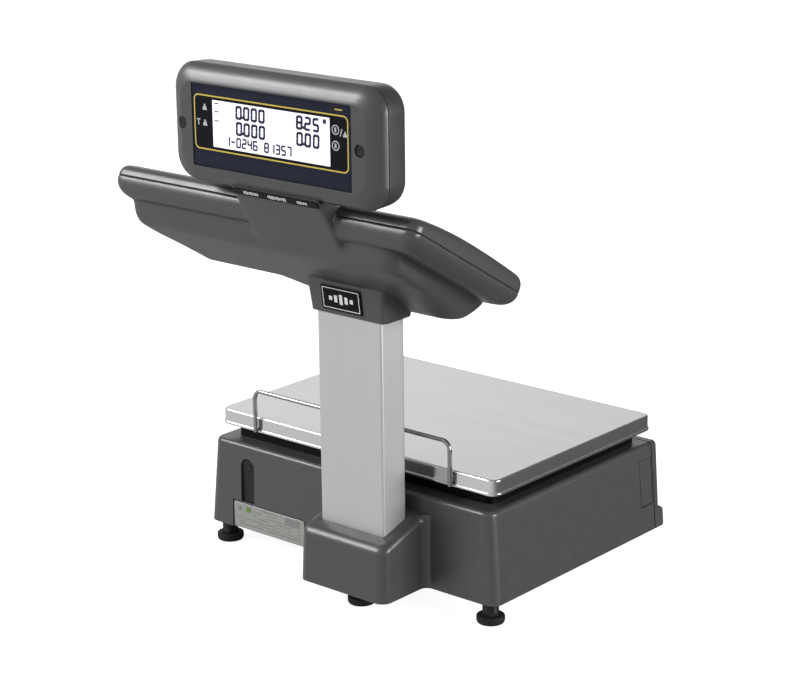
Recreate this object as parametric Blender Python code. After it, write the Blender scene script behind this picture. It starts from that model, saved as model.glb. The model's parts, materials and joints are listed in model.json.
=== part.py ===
"""A counter-top label printing scale: base with printer, weighing platter, column, keyboard head and display.

Everything is laid out in metres from the point on the table under the platter's centre: +X to the right as
the customer sees it, +Y towards the operator, +Z up. One empty carries that layout, so that the origin is the
centre of the scale's footprint.
"""

import math

import bmesh
import bpy
from mathutils import Matrix, Vector

# Whole scale
LAYOUT_IN_FOOTPRINT = (0.0029, 0.076, 0)  # from the centre of the scale's footprint
GAP = 0.0003  # between pieces that touch
WALL = 0.003  # moulded housings

# Base housing
BASE_BOTTOM = 0.0215
BASE_TOP = 0.121
BASE_MIDDLE = -0.0045  # the housing and the platter are centred here in X, the head on the layout's zero
BASE_HALF_BOTTOM = 0.205
BASE_HALF_TOP = 0.1965
BASE_REAR_BOTTOM = -0.1535
BASE_REAR_TOP = -0.1505
BASE_SEAM = 0.135  # where the front panel meets the cover
BASE_CORNER = 0.012
BASE_FILLET = 0.005
PANEL_FACE_LOW = 0.147
PANEL_FACE_HIGH = 0.149
LIP_FACE = 0.156
TRAY_BOTTOM = 0.0222
TRAY_FLOOR = 0.0252
TRAY_LEFT = -0.205
TRAY_RIGHT = 0.196
TRAY_REAR = -0.149
CALIBRATION_SLOT = (-0.159, -0.139, 0.0535, 0.105)  # left, right, low, high
BOARD_BOTTOM = 0.0335
BOARD_POSTS = [(x, y) for x in (-0.172, -0.088) for y in (-0.052, 0.052)]
INLET = (-0.1155, -0.0845, 0.045, 0.067)  # y and z limits
INLET_FACE = -0.208

# Column and the boss that holds it
COLUMN_X = 0.049
COLUMN_Y = -0.182
COLUMN_WIDTH = 0.0865
COLUMN_DEPTH = 0.036
COLUMN_WALL = 0.0022
COLUMN_FOOT = 0.0305
COLUMN_TOP = 0.343
BOSS_HALF = 0.0585
BOSS_FRONT_LOW = -0.2205
BOSS_FRONT_HIGH = -0.2185
BOSS_EDGE = 0.0805  # height of its sloping top at the customer side
BOSS_SLOPE = 0.323

# Feet
FOOT_RADIUS = 0.015
FOOT_HEIGHT = 0.0085
STUD_RADIUS = 0.003
FEET = {
    "foot_rear_left": (-0.187, -0.143),
    "foot_rear_right": (0.187, -0.143),
    "foot_front_left": (-0.074, 0.120),
    "foot_front_right": (0.074, 0.120),
    "foot_column": (0.050, -0.188),
}

# Platter, its rail and its support
PLATTER_HALF = (0.194, 0.1395)
PLATTER_CORNER = 0.010
PLATTER_TOP = 0.1525
PLATTER_LIP = 0.135
PLATTER_SHEET = 0.0015
LIP_FLARE = 0.0012
RAIL_MIDDLE = -0.004
RAIL_HALF = 0.138
RAIL_TOP = 0.187
RAIL_WIRE = 0.0025
PAD_AT = (0.150, 0.100)
PAD_RADIUS = 0.009
CELL_HALF = (0.065, 0.020)
CELL_BOTTOM = 0.062
CELL_TOP = 0.092

# Keyboard head: a slab tilted down towards the operator, with a belly under it
HEAD_TILT = math.radians(30.6)
HEAD_CENTRE = (0, -0.1956, 0.3939)  # on the seam between the two shells
HEAD_HALF = (0.2037, 0.0962)
HEAD_CORNER = 0.012
HEAD_ARCH = (0.36, 0.18)  # how much lower the crown is at its customer side and at its operator side
KEYPAD_HALF = (0.172, 0.064)
KEYPAD_FLOOR = 0.0150  # above the seam
BELLY = (
    # customer side (y, z), operator side (y, z), left, right, radii of the two customer side corners
    (-0.2680, 0.4240, -0.128, 0.3425, -0.1935, 0.168, 0.010, 0.016),
    (-0.2665, 0.3960, -0.124, 0.3360, -0.1915, 0.167, 0.012, 0.019),
    (-0.2500, 0.3800, -0.122, 0.3310, -0.1855, 0.165, 0.014, 0.027),
    (-0.2220, 0.3610, -0.126, 0.3270, -0.1740, 0.163, 0.014, 0.035),
    (-0.1910, 0.3390, -0.134, 0.3225, -0.1620, 0.160, 0.014, 0.030),
    (-0.1735, 0.3250, -0.141, 0.3200, -0.1560, 0.157, 0.012, 0.018),
    (-0.1680, 0.3225, -0.146, 0.3190, -0.1530, 0.154, 0.010, 0.008),
)
BELLY_HOLLOW = (
    (-0.2650, 0.4260, -0.130, 0.3480, -0.1905, 0.165, 0.007, 0.013),
    (-0.2632, 0.3980, -0.1305, 0.3462, -0.1880, 0.164, 0.009, 0.016),
    (-0.2475, 0.3830, -0.131, 0.3450, -0.1815, 0.162, 0.011, 0.024),
    (-0.2200, 0.3642, -0.132, 0.3440, -0.1700, 0.160, 0.011, 0.031),
    (-0.1930, 0.3448, -0.134, 0.3434, -0.1600, 0.158, 0.011, 0.026),
)
BELLY_STEP = ((-0.25, 0.30), (-0.25, 0.3400), (-0.052, 0.3400), (-0.002, 0.3225), (-0.002, 0.30))  # x, z
NECK_LEFT = -0.0125
NECK_RIGHT = 0.106
COLLAR_HALF = 0.049
COLLAR_BOTTOM = 0.315

# Display unit
DISPLAY_LEFT = -0.087
DISPLAY_RIGHT = 0.187
DISPLAY_LOW = 0.458
DISPLAY_HIGH = 0.5765
DISPLAY_FACE = -0.308
DISPLAY_SEAM = -0.293
DISPLAY_BACK = -0.262
DISPLAY_CORNER = 0.026
WINDOW = (-0.055, 0.153, 0.476, 0.558)  # left, right, low, high
LCD_AREA = (-0.027, 0.126, 0.4975, 0.5435)
PLUG_HEIGHT = 0.517
PLUGS = {"screw_plug_left": -0.069, "screw_plug_right": 0.163}

# Printer, between two side plates; its shafts lie along X
PLATE_LEFT = 0.084
PLATE_RIGHT = 0.164
PLATE = 0.002
PLATEN_AT = (0.124, 0.084)
PLATEN_RADIUS = 0.007
ROLL_AT = (0.058, 0.062)
ROLL_RADIUS = 0.033
HEAD_PIVOT = (0.093, 0.100)
MODULE = 0.001
PLATEN_TEETH = 24
IDLER_TEETH = 30
PINION_TEETH = 12
GEAR_X = (0.1675, 0.1735)
DOOR = (0.0786, 0.1714, 0.0486, 0.1114)  # left, right, low, high
DOOR_PIVOT = (0.1440, 0.0520)
SLOT = (0.092, 0.158, 0.090, 0.097)
LATCH = (0.1124, 0.1331, 0.0529, 0.1041)  # y and z limits
ROCKER_PIVOT = (-0.2030, -0.061)
ROCKER_MIDDLE = 0.056


# ---------------------------------------------------------------- building tools


def material(name, colour, roughness, metallic=0.0, alpha=1.0):
    made = bpy.data.materials.new(name)
    made.use_nodes = True
    shader = made.node_tree.nodes["Principled BSDF"]
    shader.inputs["Base Color"].default_value = (*colour, 1)
    shader.inputs["Roughness"].default_value = roughness
    shader.inputs["Metallic"].default_value = metallic
    shader.inputs["Alpha"].default_value = alpha
    return made


def place(name, data, look, origin=(0, 0, 0)):
    obj = bpy.data.objects.new(name, data)
    bpy.context.scene.collection.objects.link(obj)
    obj.parent = layout
    obj.location = origin
    if look is None:
        obj.hide_render = True
        obj.display_type = "WIRE"
    else:
        data.materials.append(look)
    return obj


def add(name, shape, look=None, origin=(0, 0, 0)):
    """An object from a bmesh in layout coordinates, its origin where it turns or slides. No look: a helper."""
    bmesh.ops.translate(shape, vec=-Vector(origin), verts=shape.verts)
    bmesh.ops.recalc_face_normals(shape, faces=shape.faces)
    mesh = bpy.data.meshes.new(name)
    shape.to_mesh(mesh)
    shape.free()
    mesh.shade_smooth()
    mesh.set_sharp_from_angle(angle=math.radians(35))
    return place(name, mesh, look, origin)


def boolean(obj, operation, shapes):
    for number, shape in enumerate(shapes):
        helper = add(f"{obj.name}_{operation.lower()}_{number}", shape)
        step = obj.modifiers.new(helper.name, "BOOLEAN")
        step.operation = operation
        step.object = helper
        helper.location = obj.location
        helper.data.transform(Matrix.Translation(-obj.location))
    return obj


def join(obj, *shapes):
    return boolean(obj, "UNION", shapes)


def cut(obj, *shapes):
    return boolean(obj, "DIFFERENCE", shapes)


def loft(rings):
    """A closed body through rings of equally many points, with flat ends."""
    shape = bmesh.new()
    loops = [[shape.verts.new(point) for point in ring] for ring in rings]
    for low, high in zip(loops, loops[1:]):
        for i in range(len(low)):
            j = (i + 1) % len(low)
            shape.faces.new((low[i], low[j], high[j], high[i]))
    shape.faces.new(list(reversed(loops[0])))
    shape.faces.new(loops[-1])
    return shape


def rounded(x0, x1, y0, y1, radii, steps=4):
    """A rectangle's outline with a radius for each corner, anticlockwise from (x0, y0)."""
    corners = (
        (x0 + radii[0], y0 + radii[0], 180),
        (x1 - radii[1], y0 + radii[1], 270),
        (x1 - radii[2], y1 - radii[2], 0),
        (x0 + radii[3], y1 - radii[3], 90),
    )
    points = []
    for (cx, cy, start), radius in zip(corners, radii):
        turns = steps if radius else 0
        for k in range(turns + 1):
            angle = math.radians(start + 90 * k / max(turns, 1))
            points.append((cx + radius * math.cos(angle), cy + radius * math.sin(angle)))
    return points


def on_axis(axis, along, a, b):
    """A point from its place along an axis and its two other coordinates, in X, Y, Z order."""
    return {"X": (along, a, b), "Y": (a, along, b), "Z": (a, b, along)}[axis]


def prism(axis, start, end, outline):
    return loft([[on_axis(axis, along, a, b) for a, b in outline] for along in (start, end)])


def box(x0, x1, y0, y1, z0, z1):
    return prism("Z", z0, z1, [(x0, y0), (x1, y0), (x1, y1), (x0, y1)])


def turned(axis, centre, profile, steps=24):
    """A body turned about a line along an axis; profile holds (place along the axis, radius)."""
    rings = []
    for along, radius in profile:
        turns = [2 * math.pi * k / steps for k in range(steps)]
        circle = [(centre[0] + radius * math.cos(t), centre[1] + radius * math.sin(t)) for t in turns]
        rings.append([on_axis(axis, along, a, b) for a, b in circle])
    return loft(rings)


def rod(axis, centre, start, end, radius, steps=24):
    return turned(axis, centre, [(start, radius), (end, radius)], steps)


def blend(low, high, share):
    return low + (high - low) * share


# ---------------------------------------------------------------- base


def base_share(z):
    return (z - BASE_BOTTOM) / (BASE_TOP - BASE_BOTTOM)


def base_sides(z, inset=0.0):
    half = blend(BASE_HALF_BOTTOM, BASE_HALF_TOP, base_share(z)) - inset
    return BASE_MIDDLE - half, BASE_MIDDLE + half


def base_rear(z):
    return blend(BASE_REAR_BOTTOM, BASE_REAR_TOP, base_share(z))


def cover_ring(z, inset, front):
    radius = max(BASE_CORNER - inset, 0.004)
    outline = rounded(*base_sides(z, inset), base_rear(z) + inset, front, (radius, radius, 0, 0))
    return [(x, y, z) for x, y in outline]


def fillet(radius, steps=3):
    """(inset, drop) pairs that round a top edge."""
    turns = [math.pi / 2 * k / steps for k in range(steps + 1)]
    return [(radius * (1 - math.cos(t)), radius * (1 - math.sin(t))) for t in turns]


def cover_outside():
    rings = [cover_ring(BASE_BOTTOM, 0, BASE_SEAM)]
    rings += [cover_ring(BASE_TOP - drop, inset, BASE_SEAM) for inset, drop in fillet(BASE_FILLET)]
    return loft(rings)


def cover_inside():
    below = BASE_BOTTOM - 0.002
    rings = [cover_ring(below, WALL, BASE_SEAM + 0.01)]
    rings += [cover_ring(BASE_TOP - WALL, WALL, BASE_SEAM + 0.01)]
    return loft(rings)


def boss_top(y):
    return BOSS_EDGE + BOSS_SLOPE * (y - BOSS_FRONT_HIGH)


def boss_ring(share, inset, drop, back):
    """A ring of the boss: share 0 is flat at its foot, share 1 follows the sloping top."""
    half = BOSS_HALF + 0.0015 * (1 - share) - inset
    front = blend(BOSS_FRONT_LOW, BOSS_FRONT_HIGH, share) + inset
    radius = max(0.011 - inset, 0.004)
    outline = rounded(COLUMN_X - half, COLUMN_X + half, front, back, (radius, radius, 0, 0))
    foot = BASE_BOTTOM - drop
    return [(x, y, foot if share == 0 else boss_top(y) - drop) for x, y in outline]


def boss_outside():
    back = BASE_REAR_TOP + 0.001
    rings = [boss_ring(0, 0, 0, back)]
    rings += [boss_ring(1, inset, drop, back) for inset, drop in fillet(BASE_FILLET)]
    return loft(rings)


def boss_inside():
    back = BASE_REAR_TOP + 0.006
    return loft([boss_ring(0, WALL, 0.002, back), boss_ring(1, WALL, WALL, back)])


def rounded_slot(axis, start, end, x0, x1, z0, z1, shrink=0.0):
    """A slot with a half-round top, along Y."""
    radius = (x1 - x0) / 2 - shrink
    outline = rounded(x0 + shrink, x1 - shrink, z0 + shrink, z1 - shrink, (0, 0, radius, radius), 6)
    return prism(axis, start, end, outline[:-1])


def base_cover():
    cover = add("base_cover", cover_outside(), dark_plastic)
    join(cover, boss_outside())
    hole_x = COLUMN_WIDTH / 2 + GAP
    hole_y = COLUMN_DEPTH / 2 + GAP
    low_y, high_y, low_z, high_z = LATCH
    cut(
        cover,
        cover_inside(),
        boss_inside(),
        box(COLUMN_X - hole_x, COLUMN_X + hole_x, COLUMN_Y - hole_y, COLUMN_Y + hole_y, 0.07, 0.13),
        box(0.022, 0.073, -0.028, 0.028, 0.11, 0.13),
        box(0.18, 0.21, low_y - 0.0004, high_y + 0.0004, low_z - 0.0004, high_z + 0.0004),
        box(-0.172, -0.062, -0.16, -0.1512, 0.015, 0.0540),
        rounded_slot("Y", -0.16, -0.14, *CALIBRATION_SLOT),
        box(-0.22, -0.19, INLET[0] - 0.0005, INLET[1] + 0.0005, INLET[2] - 0.0005, INLET[3] + 0.0005),
        box(-0.22, -0.19, -0.0712, -0.0508, 0.0492, 0.0628),
    )


def panel_ring(z, inset, face, back):
    radius = max(0.006 - inset, 0.002)
    outline = rounded(*base_sides(z, inset), back, face, (0, 0, radius, radius))
    return [(x, y, z) for x, y in outline]


def panel_face(z):
    return blend(PANEL_FACE_LOW, PANEL_FACE_HIGH, (z - 0.0445) / (0.117 - 0.0445))


def front_panel():
    back = BASE_SEAM + GAP
    rounding = 0.0035
    lip = ((BASE_BOTTOM, 0.1545), (0.024, LIP_FACE), (0.038, LIP_FACE), (0.0425, 0.153), (0.0445, PANEL_FACE_LOW))
    rings = [panel_ring(z, 0, face, back) for z, face in lip]
    for inset, drop in fillet(rounding):
        rings.append(panel_ring(BASE_TOP - drop, inset, PANEL_FACE_HIGH - inset, back))
    panel = add("front_panel", loft(rings), dark_plastic)
    inner = ((0.015, 0.1525), (0.038, 0.1525), (0.041, 0.1440), (BASE_TOP - WALL, PANEL_FACE_HIGH - WALL))
    cut(
        panel,
        loft([panel_ring(z, WALL, face, back - 0.01) for z, face in inner]),
        box(DOOR[0] - 0.0006, DOOR[1] + 0.0006, 0.12, 0.17, DOOR[2] - 0.0016, DOOR[3] + 0.0006),
        rod("X", DOOR_PIVOT, DOOR[0] - 0.003, DOOR[1] + 0.003, 0.0015, 12),
    )


def base_tray():
    boss_left, boss_right, boss_rear = -0.0055, 0.1035, -0.2165
    bevel = 0.008
    front = 0.1335
    outline = [
        (TRAY_LEFT, front),
        (TRAY_LEFT, TRAY_REAR + bevel),
        (TRAY_LEFT + bevel, TRAY_REAR),
        (boss_left, TRAY_REAR),
        (boss_left, boss_rear + bevel),
        (boss_left + bevel, boss_rear),
        (boss_right - bevel, boss_rear),
        (boss_right, boss_rear + bevel),
        (boss_right, TRAY_REAR),
        (TRAY_RIGHT - bevel, TRAY_REAR),
        (TRAY_RIGHT, TRAY_REAR + bevel),
        (TRAY_RIGHT, front),
    ]
    tray = add("base_tray", prism("Z", TRAY_BOTTOM, TRAY_FLOOR, outline), steel)
    rib = (-0.135, 0.105, TRAY_FLOOR - 0.001, TRAY_FLOOR + 0.008)
    ribs = [box(x, x + 0.002, *rib) for x in (TRAY_LEFT + 0.001, TRAY_RIGHT - 0.003)]
    posts = [rod("Z", at, TRAY_FLOOR - 0.001, BOARD_BOTTOM - GAP, 0.003, 12) for at in BOARD_POSTS]
    join(tray, *ribs, *posts)
    cut(tray, *[rod("Z", at, 0.01, 0.05, STUD_RADIUS + GAP, 16) for at in FEET.values()])


def feet():
    profile = (
        (0, 0.0125),
        (0.0015, 0.0145),
        (0.0035, FOOT_RADIUS),
        (FOOT_HEIGHT - 0.001, FOOT_RADIUS),
        (FOOT_HEIGHT, 0.0142),
        (FOOT_HEIGHT + 0.0003, 0.0095),
        (0.0200, 0.0090),
        (0.0201, STUD_RADIUS),
        (0.0400, STUD_RADIUS),
    )
    for name, at in FEET.items():
        add(name, turned("Z", at, profile, 20), black_rubber, (*at, 0))


def base_details():
    add("rating_plate", box(-0.1714, -0.0626, -0.1528, -0.1515, BASE_BOTTOM, 0.0532), plate_grey)
    slot = rounded_slot("Y", -0.1495, -0.1465, *CALIBRATION_SLOT, shrink=0.0004)
    add("calibration_cover", slot, black_plastic)
    face = INLET_FACE
    inlet = add("mains_inlet", box(face, face + 0.0265, *INLET), black_plastic)
    y0, y1, z0, z1 = INLET
    cut(inlet, box(face - 0.01, face + 0.0175, y0 + 0.0035, y1 - 0.0035, z0 + 0.0035, z1 - 0.0035))
    pins = ((-0.107, 0.0548), (-0.100, 0.0575), (-0.093, 0.0548))
    join(inlet, *[box(face + 0.0025, face + 0.0185, y - 0.001, y + 0.001, z - 0.002, z + 0.002) for y, z in pins])
    supply = add("power_supply", box(-0.178, -0.090, 0.064, 0.124, 0.0258, 0.060), steel)
    cut(supply, *[box(-0.170 + 0.02 * k, -0.158 + 0.02 * k, 0.07, 0.118, 0.055, 0.065) for k in range(4)])
    board = add("main_board", box(-0.176, -0.084, -0.056, 0.056, BOARD_BOTTOM, BOARD_BOTTOM + 0.0016), green_board)
    join(
        board,
        box(-0.150, -0.130, -0.010, 0.010, BOARD_BOTTOM + 0.001, BOARD_BOTTOM + 0.005),
        box(-0.172, -0.162, -0.040, 0.030, BOARD_BOTTOM + 0.001, BOARD_BOTTOM + 0.012),
        box(-0.110, -0.090, 0.030, 0.046, BOARD_BOTTOM + 0.001, BOARD_BOTTOM + 0.014),
    )


def power_rocker():
    """A rocker standing at its off position, its two facets meeting over the pivot."""
    end, face, depth, tilt = 0.0093, 0.0053, 0.004, math.radians(8)
    outline = ((-end, -depth), (end, -depth), (end, face), (0, face - end * math.tan(tilt)), (-end, face))
    x, y = ROCKER_PIVOT
    turn = [(t * math.cos(tilt) + q * math.sin(tilt), q * math.cos(tilt) - t * math.sin(tilt)) for t, q in outline]
    points = [(x - q, y - t) for t, q in turn]
    shape = prism("Z", ROCKER_MIDDLE - 0.0064, ROCKER_MIDDLE + 0.0064, points)
    add("power_rocker", shape, black_plastic, (x, y, ROCKER_MIDDLE))


def side_latch():
    y0, y1, z0, z1 = LATCH
    (_, low_x), (_, high_x) = base_sides(z0), base_sides(z1)
    outline = ((low_x - WALL, z0), (low_x, z0), (high_x, z1), (high_x - WALL, z1))
    latch = add("side_latch", prism("Y", y0, y1, outline), dark_plastic)
    join(
        latch,
        box(0.180, 0.1935, 0.118, 0.128, 0.072, 0.084),
        box(0.180, 0.184, 0.118, 0.142, 0.072, 0.084),
    )


# ---------------------------------------------------------------- weighing parts


def platter_ring(z, flare, inset):
    half_x = PLATTER_HALF[0] + flare - inset
    half_y = PLATTER_HALF[1] + flare - inset
    radius = PLATTER_CORNER + flare - inset
    outline = rounded(BASE_MIDDLE - half_x, BASE_MIDDLE + half_x, -half_y, half_y, (radius,) * 4, 5)
    return [(x, y, z) for x, y in outline]


def platter():
    lip = PLATTER_LIP
    rings = [platter_ring(lip, LIP_FLARE, 0), platter_ring(lip + 0.003, LIP_FLARE, 0)]
    rings += [platter_ring(lip + 0.0038, 0, 0)]
    rings += [platter_ring(PLATTER_TOP - drop, 0, inset) for inset, drop in fillet(0.0025)]
    tray = add("platter", loft(rings), stainless, (0, 0, PLATTER_LIP))
    under = PLATTER_TOP - PLATTER_SHEET
    cut(tray, loft([platter_ring(lip - 0.002, 0, PLATTER_SHEET), platter_ring(under, 0, PLATTER_SHEET)]))


def guard_rail():
    """A bent wire that stands outside the skirt on the customer side."""
    bend = 0.010
    top = RAIL_TOP - RAIL_WIRE
    path = [(-RAIL_HALF, 0.1365), (-RAIL_HALF, 0.155)]
    for side, start in ((-1, 180), (1, 90)):
        for k in range(5):
            angle = math.radians(start - 90 * k / 4)
            centre = side * (RAIL_HALF - bend)
            path.append((centre + bend * math.cos(angle), top - bend + bend * math.sin(angle)))
    path += [(RAIL_HALF, 0.155), (RAIL_HALF, 0.1365)]
    wire = bpy.data.curves.new("guard_rail", "CURVE")
    wire.dimensions = "3D"
    wire.bevel_depth = RAIL_WIRE
    wire.bevel_resolution = 2
    wire.use_fill_caps = True
    line = wire.splines.new("POLY")
    line.points.add(len(path) - 1)
    y = -PLATTER_HALF[1] - LIP_FLARE - RAIL_WIRE - GAP
    for point, (x, z) in zip(line.points, path):
        point.co = (RAIL_MIDDLE + x, y, z - PLATTER_LIP, 1)
    place("guard_rail", wire, chrome, (0, 0, PLATTER_LIP))


def weighing_parts():
    half_x, half_y = CELL_HALF
    add("load_cell_mount", box(-half_x, -0.030, -0.022, 0.022, TRAY_FLOOR + GAP, CELL_BOTTOM - GAP), cast_metal)
    cell = add("load_cell", box(-half_x, half_x, -half_y, half_y, CELL_BOTTOM, CELL_TOP), aluminium)
    middle = (CELL_BOTTOM + CELL_TOP) / 2
    cut(
        cell,
        rod("Y", (-0.012, middle), -0.03, 0.03, 0.010, 20),
        rod("Y", (0.012, middle), -0.03, 0.03, 0.010, 20),
        box(-0.012, 0.012, -0.03, 0.03, middle - 0.003, middle + 0.003),
    )
    stop = ((TRAY_FLOOR + GAP, 0.007), (0.032, 0.007), (0.0321, 0.004), (CELL_BOTTOM - 0.0015, 0.004))
    add("overload_stop", turned("Z", (0.055, 0), stop, 12), steel)
    hub = add("platter_support", box(-0.050, 0.080, -0.045, 0.045, 0.1235, 0.1275), cast_metal)
    arms = []
    for sign in (-1, 1):
        length = math.hypot(*PAD_AT)
        arm = box(-length, length, -0.011, 0.011, 0.1240, 0.1305)
        angle = sign * math.atan2(PAD_AT[1], PAD_AT[0])
        bmesh.ops.rotate(arm, matrix=Matrix.Rotation(angle, 3, "Z"), verts=arm.verts)
        arms.append(arm)
    join(hub, *arms, box(0.030, half_x, -0.020, 0.020, CELL_TOP + GAP, 0.125))
    profile = ((0.1308, 0.007), (0.134, PAD_RADIUS), (0.148, PAD_RADIUS), (0.1507, 0.007))
    for number, (sx, sy) in enumerate(((-1, -1), (1, -1), (1, 1), (-1, 1)), 1):
        at = (sx * PAD_AT[0], sy * PAD_AT[1])
        add(f"platter_pad_{number}", turned("Z", at, profile, 16), black_rubber)
    level = ((BASE_TOP + GAP, 0.009), (0.1275, 0.009), (0.1276, 0.0075), (0.1295, 0.006))
    add("spirit_level", turned("Z", (0, 0.112), level, 20), clear_green)


# ---------------------------------------------------------------- column


def column_parts():
    half_x, half_y = COLUMN_WIDTH / 2, COLUMN_DEPTH / 2
    outline = rounded(COLUMN_X - half_x, COLUMN_X + half_x, COLUMN_Y - half_y, COLUMN_Y + half_y, (0.002,) * 4, 2)
    column = add("column", prism("Z", COLUMN_FOOT, COLUMN_TOP, outline), aluminium)
    in_x, in_y = half_x - COLUMN_WALL, half_y - COLUMN_WALL
    cut(column, box(COLUMN_X - in_x, COLUMN_X + in_x, COLUMN_Y - in_y, COLUMN_Y + in_y, 0.0, 0.4))
    fit_x, fit_y = in_x - 0.0005, in_y - 0.0005
    hollow = box(COLUMN_X - 0.035, COLUMN_X + 0.035, COLUMN_Y - 0.0115, COLUMN_Y + 0.0115, 0.0, 0.4)
    foot = add("column_bracket", box(0.002, 0.096, -0.213, -0.152, TRAY_FLOOR + GAP, COLUMN_FOOT - GAP), steel)
    spigot = (COLUMN_X - fit_x, COLUMN_X + fit_x, COLUMN_Y - fit_y, COLUMN_Y + fit_y)
    join(foot, box(*spigot, COLUMN_FOOT - 0.002, 0.095))
    cut(foot, hollow)
    hollow = box(COLUMN_X - 0.035, COLUMN_X + 0.035, COLUMN_Y - 0.0115, COLUMN_Y + 0.0115, 0.2, 0.4)
    flange = (-0.016, 0.114, -0.186, -0.140, COLUMN_TOP + GAP, COLUMN_TOP + 0.0033)
    top = add("head_bracket", box(*flange), steel)
    join(top, box(*spigot, 0.300, COLUMN_TOP + 0.001))
    cut(top, hollow)
    cable = box(COLUMN_X - 0.009, COLUMN_X + 0.009, -0.178, -0.176, 0.046, 0.360)
    add("column_cable", cable, grey_cable)


# ---------------------------------------------------------------- keyboard head


def tilted(shape):
    """Moves a shape from the slab's own frame (Z out of the keys) to the layout."""
    turn = Matrix.Translation(HEAD_CENTRE) @ Matrix.Rotation(-HEAD_TILT, 4, "X")
    bmesh.ops.transform(shape, matrix=turn, verts=shape.verts)
    return shape


def crown_share(y):
    drop = HEAD_ARCH[0] if y < 0 else HEAD_ARCH[1]
    return 1 - drop * (y / HEAD_HALF[1]) ** 2


def slab_ring(height, inset):
    """A ring of the slab; above the seam it follows the arch of the crown."""
    half_x, half_y = HEAD_HALF[0] - inset, HEAD_HALF[1] - inset
    radius = max(HEAD_CORNER - 0.4 * inset, 0.006)
    outline = rounded(-half_x, half_x, -half_y, half_y, (radius,) * 4, 4)
    ring = []
    for number, (x, y) in enumerate(outline):
        ring.append((x, y))
        if number % 10 == 9:
            after = outline[(number + 1) % len(outline)]
            ring += [(x, blend(y, after[1], share)) for share in (0.2, 0.4, 0.6, 0.8)]
    return [(x, y, height * crown_share(y) if height > 0.001 else height) for x, y in ring]


def slab(profile):
    return tilted(loft([slab_ring(height, inset) for height, inset in profile]))


def neck_body(grow=0.0, low=0.372, high=0.4605):
    """The wedge that rises from the belly to the display."""
    faces = ((low, -0.2280), (0.390, -0.2555), (0.3975, -0.2655), (0.430, -0.2850), (high, -0.3025))
    rings = []
    for z, front in faces:
        outline = rounded(
            NECK_LEFT - grow, NECK_RIGHT + grow, front - grow, front + 0.036 + grow, (0.004, 0.004, 0.002, 0.002), 2
        )
        rings.append([(x, y, z) for x, y in outline])
    return loft(rings)


def belly(stations):
    """The tub under the slab: rings that turn from the slab's tilt to level, from the rim down."""
    rings = []
    for y0, z0, y1, z1, left, right, radius_left, radius_right in stations:
        length = math.hypot(y1 - y0, z1 - z0)
        outline = rounded(left, right, 0, length, (radius_left, radius_right, 0.010, 0.010), 5)
        rings.append([(x, blend(y0, y1, t / length), blend(z0, z1, t / length)) for x, t in outline])
    return loft(list(reversed(rings)))


def collar(inset=0.0, low=COLLAR_BOTTOM):
    rings = []
    for z, front, half in ((low, -0.2025, COLLAR_HALF), (0.352, -0.2075, COLLAR_HALF + 0.003)):
        half -= inset
        outline = rounded(COLUMN_X - half, COLUMN_X + half, front + inset, -0.158 - inset, (0.004,) * 4, 2)
        rings.append([(x, y, z) for x, y in outline])
    return loft(rings)


def keyboard_head():
    upper = ((GAP / 2, 0), (0.006, 0.0001), (0.010, 0.0005), (0.0145, 0.002), (0.0175, 0.0045))
    crown = ((0.0192, 0.008), (0.0203, 0.016), (0.0208, 0.028))
    upper_in = ((-0.002, WALL), (0.006, 0.0032), (0.0100, 0.0045), (0.0122, 0.011), (0.0123, 0.034))
    top = add("head_upper_shell", slab((*upper, *crown)), dark_plastic)
    keypad_x, keypad_y = KEYPAD_HALF
    cut(
        top,
        slab(upper_in),
        tilted(box(-keypad_x, keypad_x, -keypad_y, keypad_y, KEYPAD_FLOOR, 0.04)),
        neck_body(0.0004),
    )
    keypad_x, keypad_y = keypad_x - 0.0004, keypad_y - 0.0004
    keypad = box(-keypad_x, keypad_x, -keypad_y, keypad_y, KEYPAD_FLOOR + GAP, KEYPAD_FLOOR + 0.0013)
    add("keypad_overlay", tilted(keypad), keypad_blue)
    add("keyboard_board", tilted(box(-0.165, 0.165, -0.058, 0.058, 0.004, 0.0056)), green_board)
    lower = ((-GAP / 2, 0), (-0.006, 0.0005), (-0.012, 0.0035), (-0.0165, 0.009), (-0.019, 0.017))
    lower_in = ((0.002, WALL), (-0.006, 0.0035), (-0.0105, 0.0065), (-0.014, 0.012), (-0.016, 0.020))
    bottom = add("head_lower_shell", belly(BELLY), dark_plastic)
    cut(bottom, prism("Y", -0.25, -0.10, BELLY_STEP))
    join(bottom, slab(lower), collar(), neck_body())
    half_x, half_y = COLUMN_WIDTH / 2 + GAP, COLUMN_DEPTH / 2 + GAP
    cut(
        bottom,
        slab(lower_in),
        belly(BELLY_HOLLOW),
        box(0.104, 0.150, -0.164, -0.145, 0.3265, 0.350),
        box(-0.018, 0.116, -0.188, -0.138, COLUMN_TOP, 0.36),
        box(COLUMN_X - half_x, COLUMN_X + half_x, COLUMN_Y - half_y, COLUMN_Y + half_y, 0.30, 0.36),
        neck_body(-WALL, 0.378, 0.470),
        box(NECK_LEFT - 0.01, NECK_RIGHT + 0.01, -0.3003, -0.24, DISPLAY_LOW - GAP, 0.48),
    )
    badge = ((-0.2037, 0.3200), (-0.2072, 0.3460), (-0.2086, 0.3460), (-0.2051, 0.3200))
    add("badge_plate", prism("X", 0.0185, 0.0715, badge), black_plastic)
    strip = ((-0.2985, 0.4522), (-0.3025, 0.4592), (-0.3032, 0.4588), (-0.2992, 0.4518))
    add("capacity_strip", prism("X", NECK_LEFT + 0.005, NECK_RIGHT - 0.003, strip), black_plastic)


# ---------------------------------------------------------------- display


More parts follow.
